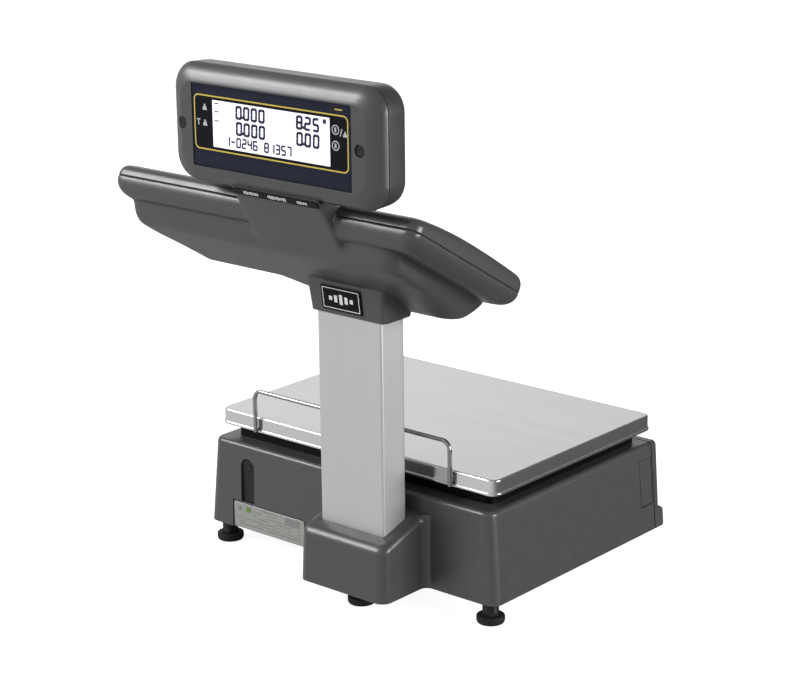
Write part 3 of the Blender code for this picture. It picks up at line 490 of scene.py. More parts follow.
def base_pieces():
    outside = loft(
        [cover_ring(BASE_BOTTOM, 0, BASE_SEAM)]
        + [cover_ring(BASE_TOP - drop, inset, BASE_SEAM) for inset, drop in fillet(BASE_FILLET)]
    )
    inside = loft([cover_ring(z, WALL, BASE_SEAM + 0.01) for z in (BASE_BOTTOM - 0.002, BASE_TOP - WALL)])
    boss = loft([boss_ring(0, 0, 0)] + [boss_ring(1, inset, drop) for inset, drop in fillet(BOSS_FILLET, 9)])
    hollow = rounded(COLUMN_X - 0.0555, COLUMN_X + 0.0555, -0.2155, -0.1445, (0.009, 0.009, 0, 0))
    cx0, cx1, cy0, cy1, _, _ = span("column")
    room = 0.0007
    cuts = [
        inside,
        prism("Z", BASE_BOTTOM - 0.002, 0.077, hollow),
        box(cx0 - room, cx1 + room, cy0 - room, cy1 + room, 0.06, 0.13),
        box(0.022, 0.073, -0.028, 0.028, 0.11, 0.13),
        box(0.18, 0.21, LATCH[2] - 0.0011, LATCH[3] + 0.0006, LATCH[4] - 0.0011, LATCH[5] + 0.0006),
        box(-0.172, -0.062, -0.16, -0.1512, 0.015, 0.0540),
        slot_shape(-0.16, -0.14),
        box(-0.22, -0.19, INLET[2] - 0.0005, INLET[3] + 0.0005, INLET[4] - 0.0005, INLET[5] + 0.0005),
        box(-0.22, -0.19, -0.0712, -0.0508, 0.0492, 0.0628),
    ]
    cover = combined(outside, [boss], cuts)
    piece("base_cover_shell", cover, dark_plastic, "base_cover", slot="dark_plastic", bevel=0.0004)
    # A raised rim on the cover under the platter, coloured near black: painted shade for the dark gap below the
    # platter.
    ledge = combined(
        loft([rim_ring(BASE_TOP - 0.001, 0), rim_ring(0.1285, 0), rim_ring(0.130, 0.0015)]),
        cuts=[loft([rim_ring(BASE_TOP - 0.01, 0.004), rim_ring(0.135, 0.004)])],
    )
    piece("base_rim_painted_shade", ledge, label_and_shade_black, body="scale", slot="black_plastic", bevel=0.0003)
    front_panel()
    # A near-black ring just inside the seam between the cover and the front panel: painted shade that darkens
    # the gap.
    hole = [(x, z - 0.001 * (z < 0.03)) for x, z in seam_outline(0.0036)]
    seam_shade = combined(
        prism("Y", BASE_SEAM + 0.0001, BASE_SEAM + 0.0015, seam_outline(0.0006)),
        cuts=[prism("Y", BASE_SEAM - 0.01, BASE_SEAM + 0.01, hole)],
    )
    piece("panel_seam_painted_shade", seam_shade, label_and_shade_black, body="scale", slot="black_plastic")
    rating_plate()
    back = slot_shape(-0.1495, -0.1465, 0.0004)
    seal = rod("Y", (-0.149, 0.094), -0.1501, -0.1490, 0.0042)
    groove = box(-0.1522, -0.1458, -0.1505, -0.1497, 0.0935, 0.0945)
    cover = combined(back, [seal], [groove])
    piece("calibration_insert", cover, black_plastic, "calibration_cover", slot="black_plastic", bevel=0.0003)
    latch()
    mains_inlet()
    rocker()
    feet()


def rim_ring(z, inset):
    half_x, half_y = 0.181 - inset, 0.129 - inset
    sides = BASE_MIDDLE - half_x, BASE_MIDDLE + half_x, -half_y, half_y
    return at_height(rounded(*sides, max(0.010 - inset, 0.004)), z)


def panel_ring(z, inset, face, back):
    radius = max(0.006 - inset, 0.002)
    return at_height(rounded(*base_sides(z, inset), back, face, (0, 0, radius, radius), 10), z)


def panel_face(z):
    return blend(0.147, 0.149, (z - 0.0445) / (0.117 - 0.0445))


def seam_outline(inset):
    """The housing's section in x and z, drawn in by inset."""
    right = [(base_sides(BASE_BOTTOM, inset)[1], BASE_BOTTOM)]
    for more, drop in fillet(BASE_FILLET):
        right.append((base_sides(BASE_TOP - drop, inset + more)[1], BASE_TOP - drop - inset))
    return right + [(2 * BASE_MIDDLE - x, z) for x, z in reversed(right)]


def front_panel():
    back = BASE_SEAM + 0.0016
    lip = ((BASE_BOTTOM, 0.1545), (0.024, 0.156), (0.038, 0.156), (0.0415, 0.1538), (0.0445, 0.1472))
    lip = [(z, min(face, 0.156)) for z, face in spline(lip)]
    rings = [panel_ring(z, 0, face, back) for z, face in lip]
    for inset, drop in fillet(0.0055, 9):
        rings.append(panel_ring(BASE_TOP - drop, inset * 0.8, 0.149 - inset, back))
    inner = ((0.015, 0.1525), (0.038, 0.1525), (0.041, 0.1440), (BASE_TOP - WALL, 0.149 - WALL))
    cuts = [
        loft([panel_ring(z, WALL, face, back - 0.01) for z, face in inner]),
        box(DOOR[0] - 0.0006, DOOR[1] + 0.0006, 0.12, 0.17, DOOR[4] - 0.0016, DOOR[5] + 0.0006),
        rod("X", HINGE, DOOR[0] - 0.003, DOOR[1] + 0.003, 0.0015, 16),
    ]
    cuts += [box(-0.165 + 0.007 * k, -0.1625 + 0.007 * k, 0.14, 0.16, 0.056, 0.100) for k in range(12)]
    cuts.append(rod("Y", (0.020, 0.080), 0.1470, 0.160, 0.006))
    shell = combined(loft(rings), cuts=cuts)
    piece("front_panel_shell", shell, dark_plastic, "front_panel", slot="dark_plastic", bevel=0.0004)
    mesh = box(-0.168, -0.080, 0.1405, 0.1415, 0.054, 0.102)
    piece("front_panel_filter", mesh, black_plastic, body="scale", slot="black_plastic")
    lens = turned("Y", (0.020, 0.080), ((0.1466, 0.0057), (0.1474, 0.0057), (0.1478, 0.0048)))
    piece("status_lens", lens, clear_green, body="scale", slot="clear_green")
    left, right, y0, y1, low, high = DOOR
    foot, head = panel_face(low), panel_face(high)
    outline = ((foot - WALL, low), (foot, low), (head, high), (head - WALL, high))
    door = combined(
        prism("X", left, right, outline),
        [rod("X", HINGE, left + 0.0002, right - 0.0002, 0.003, 24)],
        [
            rod("X", HINGE, left - 0.01, right + 0.01, 0.0015, 16),
            box(0.092, 0.158, 0.13, 0.16, 0.090, 0.097),
            box(0.112, 0.138, 0.1474, 0.16, 0.1035, 0.112),
        ]
        + [box(0.0961, 0.154, 0.147, 0.16, 0.060 + 0.0045 * k, 0.0612 + 0.0045 * k) for k in range(4)],
    )
    piece("label_door_shell", door, dark_plastic, "printer_door", slot="dark_plastic", bevel=0.0003)


def rating_plate():
    x0, x1, y0, y1, z0, z1 = span("rating_plate")
    outline = rounded(x0 + 0.001, x1 - 0.0015, z0 + 0.0005, z1 - 0.0015, 0.0015)
    sheet = prism("Y", y0 + 0.0004, y1, outline)
    piece("rating_plate_sheet", sheet, plate_grey, "rating_plate", slot="plate_grey", bevel=0.0002)
    rng = random.Random(4)
    bars = []
    front, back = y0 + 0.0003, y0 + 0.0006
    for row in range(7):
        z = z1 - 0.0050 - 0.0036 * row
        x = x0 + (0.005 if row > 3 else 0.030)
        limit = x1 - (0.036 if row < 2 else 0.006)
        while x < limit - 0.002:
            wide = rng.uniform(0.002, 0.008)
            if rng.random() > 0.2:
                tall = 0.0009 if row % 3 else 0.0014
                bars.append(box(x, min(x + wide, limit), front, back, z, z + tall))
            x += wide + 0.0016
    for k in range(14):
        x = x1 - 0.030 + 0.0016 * k
        bars.append(box(x, x + 0.0008, front, back, z1 - 0.011, z1 - 0.0035))
    bars.append(rod("Y", (x0 + 0.010, z1 - 0.008), front, back, 0.0024, 24))
    piece("rating_plate_print", merged(bars), plate_print, body="scale", weighted=False)
    mark = box(x0 + 0.020, x0 + 0.0265, front, back, z1 - 0.0105, z1 - 0.0045)
    piece("rating_plate_mark", mark, green_print, body="scale", weighted=False)


def latch():
    y0, y1, z0, z1 = LATCH[2:]
    (_, low_x), (_, high_x) = base_sides(z0), base_sides(z1)
    outline = ((low_x - WALL, z0), (low_x, z0), (high_x, z1), (high_x - WALL, z1))
    arms = [box(0.180, x, 0.118, y, 0.072, 0.084) for x, y in ((0.1935, 0.128), (0.184, 0.142))]
    shape = combined(prism("Y", y0, y1, outline), arms)
    piece("side_latch_cap", shape, dark_plastic, "side_latch", slot="dark_plastic", bevel=0.0003)


def mains_inlet():
    x0, x1, y0, y1, z0, z1 = INLET
    low, middle, high = z0 + 0.0035, (z0 + z1) / 2 + 0.002, z1 - 0.0035
    body = prism("X", x0, x1, rounded(y0, y1, z0, z1, 0.002))
    cavity = (
        (y0 + 0.004, low), (y1 - 0.004, low), (y1 - 0.004, middle), (y1 - 0.009, high), (y0 + 0.009, high),
        (y0 + 0.004, middle),
    )
    shell = combined(body, cuts=[prism("X", x0 - 0.01, x0 + 0.0175, cavity)])
    piece("mains_inlet_shell", shell, black_plastic, "mains_inlet", slot="black_plastic", bevel=0.0004)
    pins = [
        prism("X", x0 + 0.0025, x0 + 0.018, rounded(y - 0.001, y + 0.001, z - 0.002, z + 0.002, 0.0007, 3))
        for y, z in ((-0.107, 0.0548), (-0.100, 0.0575), (-0.093, 0.0548))
    ]
    piece("mains_inlet_pins", merged(pins), machined, body="scale", slot="aluminium", bevel=0.0002)


def rocker():
    end, face, depth, tilt = 0.0093, 0.0053, 0.004, math.radians(8)
    x, y = -0.2030, -0.061
    outline = [(-end, -depth), (end, -depth)]
    outline += [(end * k / 4, face - (1 - abs(k) / 4) * end * math.tan(tilt)) for k in range(4, -5, -1)]
    points = []
    for t, q in outline:
        out, along = q * math.cos(tilt) - t * math.sin(tilt), t * math.cos(tilt) + q * math.sin(tilt)
        points.append((x - out, y - along))
    shape = prism("Z", *span("power_rocker")[4:], points)
    piece("power_rocker_cap", shape, black_plastic, "power_rocker", slot="black_plastic", bevel=0.0004)


def uneven_ring(cx, cy, z, radii):
    turns = [2 * math.pi * k / len(radii) for k in range(len(radii))]
    return [(cx + radius * math.cos(t), cy + radius * math.sin(t), z) for radius, t in zip(radii, turns)]


def feet():
    """Ribbed pads, nuts and threaded studs."""
    pitch, low = 0.00125, 0.0124
    for name in [n for n in BODY_OF if n.startswith("foot_")]:
        centre, body = middle_of(name), BODY_OF[name]
        rings = []
        for z, radius in FOOT_PAD:
            rib = 0.0005 if 0.002 < z < 0.0078 else 0
            rings.append(uneven_ring(*centre, z, [radius - rib * (k % 4 == 1) for k in range(96)]))
        piece(f"{name}_pad", loft(rings), black_rubber, name, slot="black_rubber", sharp=50)
        nut = prism("Z", 0.0084, 0.0125, circle(*centre, 0.0095, 6))
        piece(f"{name}_nut", nut, black_plastic, body=body, slot="black_plastic", bevel=0.0004)
        rings = []
        for level in range(round((span(name)[5] - low) / (pitch / 4))):
            z = low + level * pitch / 4
            thick = 0.0088 if z < 0.0200 else 0.0029
            crests = [abs(2 * ((z / pitch - k / 32) % 1) - 1) for k in range(32)]
            rings.append(uneven_ring(*centre, z, [thick - 0.00045 * (1 - crest) for crest in crests]))
        piece(f"{name}_stud", loft(rings), black_plastic, body=body, slot="black_plastic", sharp=60)


# ---------------------------------------------------------------- weighing parts


def platter_ring(z, flare, inset=0.0):
    half_x, half_y = 0.194 + flare - inset, 0.1395 + flare - inset
    sides = BASE_MIDDLE - half_x, BASE_MIDDLE + half_x, -half_y, half_y
    return at_height(rounded(*sides, 0.010 + flare - inset, 12), z)


def platter_pieces():
    low, top, sheet = 0.135, 0.1525, 0.0012
    skirt = (
        (low, 0.0004), (low + 0.0005, 0.0011), (low + 0.0012, 0.0012), (low + 0.0024, 0.0012),
        (low + 0.0030, 0.0009), (low + 0.0035, 0.0003), (low + 0.0042, 0.0002), (0.1420, 0.0),
    )
    rings = [platter_ring(z, flare) for z, flare in skirt]
    edge = [platter_ring(top - drop, 0, inset) for inset, drop in fillet(0.0022, 6)]
    inner = loft([platter_ring(low - 0.002, 0, sheet), platter_ring(top - sheet, 0, sheet)])
    shape = combined(loft(rings + edge), cuts=[inner])
    tray = piece("platter_sheet", shape, stainless_top, "platter", slot="stainless")
    tray.data.materials.append(polished)
    for face in tray.data.polygons:
        if face.normal.z < 0.7:
            face.material_index = 1
    x0, x1, y0, y1, z0, z1 = span("guard_rail")
    wire, bend = 0.00235, 0.010
    left, right, y, high = x0 + 0.0025, x1 - 0.0025, (y0 + y1) / 2, z1 - 0.0025
    path = [(left, y, z0 + t) for t in (0, 0.01, 0.02, 0.03)]
    for cx, start in ((left + bend, 180), (right - bend, 90)):
        path += [(x, y, z) for x, z in arc(cx, high - bend, bend, start, start - 90, 14)]
    path += [(right, y, z0 + t) for t in (0.03, 0.02, 0.01, 0)]
    piece("guard_rail_wire", tube(path, wire, 24), chrome, "guard_rail", slot="chrome")
    weld = ((0.1366, 0.0004), (0.1370, 0.0009), (0.1390, 0.0010), (0.1394, 0.0004))
    spots = [(x + aside, y + 0.0022) for x in (left, right) for aside in (-0.0021, 0.0021)]
    welds = merged([turned("Z", spot, weld, 12) for spot in spots])
    piece("guard_rail_welds", welds, chrome, body=BODY_OF["platter"], slot="chrome")
    for number in range(1, 5):
        name = f"platter_pad_{number}"
        z0, z1 = span(name)[4:]
        steps = [(z0, 0.0066), (z0 + 0.0006, 0.0070)]
        for k in range(4):
            z = z0 + 0.0035 + 0.0032 * k
            steps += [(z, 0.0088), (z + 0.0004, 0.009), (z + 0.0018, 0.009), (z + 0.0022, 0.0084)]
        steps += [(z1 - 0.0008, 0.0074), (z1, 0.0064)]
        bellows = turned("Z", middle_of(name), steps, 48)
        piece(f"{name}_bellows", bellows, black_rubber, name, slot="black_rubber")
    at = middle_of("spirit_level")
    z0, z1 = span("spirit_level")[4:]
    ring = turned("Z", at, ((z0, 0.0088), (z0 + 0.005, 0.0088), (z0 + 0.006, 0.0082)))
    ring = combined(ring, cuts=[rod("Z", at, z0 + 0.002, z1, 0.0068)])
    piece("spirit_level_ring", ring, black_plastic, "spirit_level", slot="clear_green", bevel=0.0003)
    dome = ((0.0022, 0.0066), (0.0058, 0.0066), (0.0068, 0.0058), (0.0074, 0.0040), (0.0077, 0.0012))
    vial = turned("Z", at, [(z0 + up, radius) for up, radius in dome])
    piece("spirit_level_vial", vial, clear_green, body="scale", slot="clear_green")
    bubble = turned("Z", (at[0] + 0.0006, at[1]), ((z0 + 0.0074, 0.0019), (z0 + 0.0079, 0.0012)), 32)
    piece("spirit_level_bubble", bubble, white_print, body="scale")


# ---------------------------------------------------------------- column


def column_pieces():
    x0, x1, y0, y1, z0, z1 = span("column")
    outline = rounded(x0, x1, y0, y1, 0.0028)
    inner = rounded(*drawn_in(x0, x1, y0, y1, 0.0024), 0.001, 3)
    tube_shape = combined(prism("Z", z0, z1, outline), cuts=[prism("Z", z0 - 0.1, z1 + 0.1, inner)])
    piece("column_profile", tube_shape, anodised, "column", slot="aluminium", sharp=60)


# ---------------------------------------------------------------- keyboard head

BELLY = (
    (-0.2680, 0.4240, -0.128, 0.3425, -0.1935, 0.168, 0.010, 0.016),
    (-0.2665, 0.3960, -0.124, 0.3360, -0.1915, 0.167, 0.012, 0.019),
    (-0.2500, 0.3800, -0.122, 0.3310, -0.1855, 0.165, 0.014, 0.027),
    (-0.2220, 0.3610, -0.126, 0.3270, -0.1740, 0.163, 0.014, 0.035),
    (-0.1910, 0.3390, -0.134, 0.3225, -0.1620, 0.160, 0.014, 0.030),
    (-0.1735, 0.3250, -0.141, 0.3200, -0.1560, 0.157, 0.012, 0.018),
    (-0.1680, 0.3225, -0.146, 0.3190, -0.1530, 0.154, 0.010, 0.008),
)
BELLY_HOLLOW = (
    (-0.2650, 0.4260, -0.130, 0.3480, -0.1905, 0.165, 0.007, 0.013),
    (-0.2632, 0.3980, -0.1305, 0.3462, -0.1880, 0.164, 0.009, 0.016),
    (-0.2475, 0.3830, -0.131, 0.3450, -0.1815, 0.162, 0.011, 0.024),
    (-0.2200, 0.3642, -0.132, 0.3440, -0.1700, 0.160, 0.011, 0.031),
    (-0.1930, 0.3448, -0.134, 0.3434, -0.1600, 0.158, 0.011, 0.026),
)
BELLY_STEP = ((-0.25, 0.30), (-0.25, 0.3400), (-0.052, 0.3400), (-0.002, 0.3225), (-0.002, 0.30))
NECK = (-0.0125, 0.106)


def crown_share(y):
    drop = HEAD_ARCH[0] if y < 0 else HEAD_ARCH[1]
    return 1 - drop * (y / HEAD_HALF[1]) ** 2


def slab_ring(height, inset, steps=12):
    half_x, half_y = HEAD_HALF[0] - inset, HEAD_HALF[1] - inset
    radius = max(HEAD_CORNER - 0.4 * inset, 0.006)
    outline = rounded(-half_x, half_x, -half_y, half_y, radius, steps)
    ring = []
    corner = 2 * (steps + 1)
    for number, (x, y) in enumerate(outline):
        ring.append((x, y))
        if number % corner == corner - 1:
            after = outline[(number + 1) % len(outline)]
            ring += [(x, blend(y, after[1], k / 14)) for k in range(1, 14)]
    return [(x, y, height * crown_share(y) if height > 0.001 else height) for x, y in ring]


def slab(profile, strips=False):
    return moved(loft([slab_ring(height, max(inset, 0)) for height, inset in profile], strips), TILT)


def neck_body(grow=0.0, low=0.372, high=0.4605):
    faces = ((low, -0.2280), (0.390, -0.2555), (0.3975, -0.2655), (0.430, -0.2850), (high, -0.3025))
    rings = []
    for z, front in faces:
        sides = NECK[0] - grow, NECK[1] + grow, front - grow, front + 0.036 + grow
        rings.append(at_height(rounded(*sides, (0.004, 0.004, 0.002, 0.002), 4), z))
    return loft(rings)


def belly(stations, steps=10):
    rings = []
    for y0, z0, y1, z1, left, right, radius_left, radius_right in stations:
        length = math.hypot(y1 - y0, z1 - z0)
        outline = rounded(left, right, 0, length, (radius_left, radius_right, 0.010, 0.010), steps)
        rings.append([(x, blend(y0, y1, t / length), blend(z0, z1, t / length)) for x, t in outline])
    return loft(list(reversed(rings)))


def collar():
    rings = []
    for z, front, half in ((0.315, -0.2025, 0.049), (0.352, -0.2075, 0.052)):
        rings.append(at_height(rounded(COLUMN_X - half, COLUMN_X + half, front, -0.158, 0.004, 5), z))
    return loft(rings)


def held_near_seam(points):
    """Full softening away from the seam, the underside of the collar and the display, none at them."""
    local = (np.array(TILT.inverted())[:3, :3] @ (points - np.array(HEAD_CENTRE)).T).T
    seam = np.clip((-local[:, 2] - 0.0016) / 0.003, 0, 1)
    seam = np.where(np.abs(local[:, 1]) > HEAD_HALF[1] + 0.012, 1, seam)
    under = np.clip((points[:, 2] - 0.3165) / 0.003, 0, 1)
    over = np.clip((0.4585 - points[:, 2]) / 0.003, 0, 1)
    crease = np.exp(-((points[:, 2] - 0.397) ** 2 + (points[:, 1] + 0.2655) ** 2) / (2 * 0.011**2))
    across = np.clip((0.075 - np.abs(points[:, 0] - 0.047)) / 0.02, 0, 1)
    cove = np.clip((points[:, 0] - 0.112) / 0.012, 0, 1) * np.clip((0.162 - points[:, 0]) / 0.02, 0, 1)
    cove = cove * np.clip((-0.215 - points[:, 1]) / 0.02, 0, 1)
    strength = np.maximum(0.11 + 0.89 * crease * across, 0.9 * cove)
    return strength * np.minimum(np.maximum(seam, (points[:, 2] > 0.45) * 0.4), np.minimum(under, over))


def head_pieces():
    upper = (
        (GAP / 2, 0.0006), (0.0008, 0), (0.006, 0.0001), (0.010, 0.0005), (0.0145, 0.002), (0.0175, 0.0045),
        (0.0192, 0.008), (0.0203, 0.016), (0.0208, 0.028),
    )
    upper_in = ((-0.002, WALL), (0.006, 0.0032), (0.0100, 0.0045), (0.0122, 0.011), (0.0123, 0.034))
    kx, ky, floor = 0.172, 0.064, 0.0150
    recess = moved(prism("Z", floor, 0.04, rounded(-kx, kx, -ky, ky, 0.003)), TILT)
    shell = combined(slab(spline(upper, 3), True), cuts=[slab(upper_in), recess, neck_body(0.0004)])
    piece("head_upper_shell_cap", shell, dark_plastic, "head_upper_shell", slot="dark_plastic", bevel=0.0003)
    lower = (
        (-GAP / 2, 0.0006), (-0.0010, 0), (-0.006, 0.0005), (-0.012, 0.0035), (-0.0165, 0.009), (-0.019, 0.017),
    )
    lower_in = ((0.002, WALL), (-0.006, 0.0035), (-0.0105, 0.0065), (-0.014, 0.012), (-0.016, 0.020))
    tub = combined(belly(spline(BELLY, 4)), cuts=[prism("Y", -0.25, -0.10, BELLY_STEP)])
    solid = combined(tub, [slab(spline(lower, 3)), collar(), neck_body()])
    solid = softened(remeshed(solid, 0.0014), 45, held_near_seam)
    x0, x1, y0, y1, z0, z1 = span("column")
    cuts = [
        slab(lower_in),
        belly(BELLY_HOLLOW),
        box(x0 - GAP, x1 + GAP, y0 - GAP, y1 + GAP, 0.30, 0.36),
        box(-0.018, 0.116, -0.188, -0.138, z1, 0.36),
        neck_body(-WALL, 0.378, 0.470),
        box(NECK[0] - 0.01, NECK[1] + 0.01, -0.3003, -0.24, 0.458 - GAP, 0.48),
    ]
    solid = combined(solid, cuts=cuts, solver="MANIFOLD")
    name = "head_lower_shell"
    tub = piece(f"{name}_tub", solid, dark_plastic, name, slot="dark_plastic", sharp=50)
    thin = tub.modifiers.new("thin", "DECIMATE")
    thin.ratio = 0.45
    tub.modifiers.move(1, 0)
    badge()
    keypad(floor)


def badge():
    x0, x1, _, _, z0, z1 = span("badge_plate")
    lean = (-0.2072 + 0.2037) / (z1 - z0)

    def at(z, out):
        return (-0.2037 + lean * (z - z0) - out, z)

    def sheet(a, b, low, high, inner, outer):
        return prism("X", a, b, (at(low, inner), at(high, inner), at(high, outer), at(low, outer)))

    plate = sheet(x0, x1, z0, z1, 0, 0.0011)
    piece("badge_plate_sheet", plate, label_and_shade_black, "badge_plate", slot="black_plastic", bevel=0.0003)
    frame_line = []
    for a, b, low, high in (
        (x0 + 0.002, x1 - 0.002, z0 + 0.002, z0 + 0.0028),
        (x0 + 0.002, x1 - 0.002, z1 - 0.0028, z1 - 0.002),
        (x0 + 0.002, x0 + 0.0028, z0 + 0.0028, z1 - 0.0028),
        (x1 - 0.0028, x1 - 0.002, z0 + 0.0028, z1 - 0.0028),
    ):
        frame_line.append(sheet(a, b, low, high, 0.0011, 0.00125))
    level = z0 + 0.013
    for k, half in enumerate((0.00225, 0.00375, 0.00525, 0.00375, 0.00225)):
        middle = x0 + 0.0125 + 0.007 * k
        a, b = middle - 0.0021, middle + 0.0021
        frame_line.append(sheet(a, b, level - half, level + half, 0.0011, 0.00125))
    piece("badge_plate_mark", merged(frame_line), white_print, body="scale", weighted=False)
    strip()


def strip():
    x0, x1, _, _, z0, z1 = span("capacity_strip")
    low, high = Vector((0, -0.2985, 0.4522)), Vector((0, -0.3025, 0.4592))
    out = Vector((0, -0.87, -0.5)).normalized()

    def at(t, off):
        p = low.lerp(high, t) + out * off
        return (p.y, p.z)

    def sheet(a, b, t0, t1, inner, outer):
        return prism("X", a, b, (at(t0, inner), at(t1, inner), at(t1, outer), at(t0, outer)))

    plate = sheet(x0, x1, 0.02, 0.98, 0, 0.0007)
    piece("capacity_strip_sheet", plate, label_and_shade_black, "capacity_strip", slot="black_plastic")
    rng = random.Random(9)
    bars = []
    for start, end in ((0.12, 0.30), (0.41, 0.63), (0.76, 0.88)):
        x, stop = blend(x0, x1, start), blend(x0, x1, end)
        while x < stop:
            wide = rng.uniform(0.0012, 0.0022)
            tall = rng.uniform(0.16, 0.30)
            bars.append(sheet(x, x + wide, 0.5 - tall, 0.5 + tall, 0.0007, 0.0008))
            x += wide + 0.0009
    piece("capacity_strip_print", merged(bars), white_print, body="scale", weighted=False)


def numeral(text, size):
    """A number as a flat mesh, its middle at the origin."""
    curve = bpy.data.curves.new("numeral", "FONT")
    curve.body = text
    curve.size = size
    curve.align_x, curve.align_y = "CENTER", "CENTER"
    curve.extrude = 0.00005
    obj = bpy.data.objects.new("numeral", curve)
    bpy.context.scene.collection.objects.link(obj)
    bpy.context.view_layer.update()
    graph = bpy.context.evaluated_depsgraph_get()
    mesh = bpy.data.meshes.new_from_object(obj.evaluated_get(graph))
    bpy.data.objects.remove(obj)
    bpy.data.curves.remove(curve)
    shape = bmesh.new()
    shape.from_mesh(mesh)
    bpy.data.meshes.remove(mesh)
    return shape


def keypad(floor):
    """A printed sheet with raised keys, some with numbers. The keypad's top is the operator's side."""
    kx, ky, top = 0.1716, 0.0636, floor + 0.0013
    sheet = moved(prism("Z", floor + GAP, top - 0.0002, rounded(-kx, kx, -ky, ky, 0.003)), TILT)
    piece("keypad_sheet", sheet, keypad_blue, "keypad_overlay", slot="keypad_blue", bevel=0.0002)
    groups = {name: [] for name in KEY_LOOKS}
    numbers = []

    def key(x, y, wide, deep, kind, text=None):
        rings = []
        for lift, inset in ((0, 0), (0.0004, 0.0001), (0.0007, 0.0006)):
            sides = drawn_in(x - wide / 2, x + wide / 2, y - deep / 2, y + deep / 2, inset)
            rings.append(at_height(rounded(*sides, 0.0018, 5), top - 0.0003 + lift))
        groups[kind].append(moved(loft(rings), TILT))
        if text:
            turn = Matrix.Translation((x, y, top + 0.00046)) @ Matrix.Rotation(math.pi, 4, "Z")
            numbers.append(moved(moved(numeral(text, min(deep, wide) * 0.62), turn), TILT))

    for row in range(6):
        for column in range(10):
            x = 0.160 - 0.0178 * column
            y = 0.048 - 0.0190 * row
            key(x, y, 0.0155, 0.0165, "light", str(row * 10 + column + 1))
    for number, text in enumerate(("7", "8", "9", "4", "5", "6", "1", "2", "3", "0")):
        x = -0.045 - 0.0200 * (number % 3)
        y = 0.038 - 0.0215 * (number // 3)
        key(x, y, 0.0175, 0.0185, "light", text)
    pairs = (("blue", "blue"), ("blue", "blue"), ("green", "blue"), ("red", "green"))
    for number, (left, right) in enumerate(pairs):
        key(-0.112, 0.038 - 0.0215 * number, 0.020, 0.0185, left)
        key(-0.136, 0.038 - 0.0215 * number, 0.020, 0.0185, right)
    key(-0.065, -0.0265, 0.0175, 0.0185, "blue")
    key(-0.085, -0.0265, 0.0175, 0.0185, "red")
    for name, shapes in groups.items():
        piece(f"keys_{name}", merged(shapes), KEY_LOOKS[name], body="scale", slot="keypad_blue")
    piece("key_numbers", merged(numbers), grey_print, body="scale", weighted=False)


# ---------------------------------------------------------------- display

DISPLAY = (*span("display_front_shell")[:2], *span("display_front_shell")[4:])
FACE = -0.308
SEAM = -0.293
BACK = -0.262


def display_ring(y, inset):
    radius = max(0.026 - 0.6 * inset, 0.008)
    return [(x, y, z) for x, z in rounded(*drawn_in(*DISPLAY, inset), radius, 14)]


def display_loft(profile, steps=4):
    return loft([display_ring(y, max(inset, 0)) for y, inset in spline(profile, steps)])


def window_outline(node, inset=0.0):
    x0, x1, _, _, z0, z1 = span(node)
    return rounded(*drawn_in(x0, x1, z0, z1, inset), 0.002)


def display_pieces():
    front = (
        (SEAM - 0.0007, 0.0008), (SEAM - 0.0016, 0), (-0.2965, 0.0005), (-0.3005, 0.003), (-0.3045, 0.008),
        (-0.3070, 0.014), (FACE, 0.0175),
    )
    front_in = ((SEAM + 0.002, 0.0025), (-0.299, 0.0045), (-0.303, 0.010), (-0.3052, 0.020))
    plugs = ("screw_plug_left", "screw_plug_right")
    holes = [rod("Y", middle_of(name, "Y"), -0.32, -0.300, 0.0062, 64) for name in plugs]
    opening = prism("Y", -0.32, -0.300, window_outline("customer_window", -GAP))
    shell = combined(display_loft(front), cuts=[display_loft(front_in, 1), opening, *holes])
    piece("display_front_cap", shell, dark_plastic, "display_front_shell", slot="dark_plastic", bevel=0.0004)
    rear = (
        (SEAM + 0.0007, 0.0012), (SEAM + 0.0016, 0.0004), (-0.272, 0.0015), (-0.266, 0.005), (-0.263, 0.011),
        (BACK, 0.017),
    )
    rear_in = ((SEAM - 0.002, 0.0025), (-0.272, 0.004), (-0.2665, 0.010), (BACK - 0.0025, 0.0175))
    opening = prism("Y", -0.27, -0.25, window_outline("operator_window", -GAP))
    vents = [box(-0.075 + 0.005 * k, -0.0728 + 0.005 * k, -0.30, -0.25, 0.4555, 0.462) for k in range(10)]
    shell = combined(display_loft(rear), cuts=[display_loft(rear_in, 1), opening, *vents])
    piece("display_rear_cap", shell, rear_plastic_painted_shade, "display_rear_shell", slot="dark_plastic", bevel=0.0004)
    for name in plugs:
        y0, y1 = span(name)[2:4]
        profile = ((y0 + 0.0006, 0.0020), (y0 + 0.0001, 0.0050), (y0 + 0.0006, 0.0057), (y1, 0.0057))
        cap = turned("Y", middle_of(name, "Y"), profile)
        piece(f"{name}_cap", cap, black_plastic, name, slot="black_plastic", bevel=0.0002)
    face_of("customer", 1)
    face_of("operator", -1)


SEGMENTS = {
    "0": "abcdef", "1": "bc", "2": "abged", "3": "abgcd", "4": "fgbc", "5": "afgcd",
    "6": "afgedc", "7": "abc", "8": "abcdefg", "9": "abcdfg", "-": "g", " ": "",
}


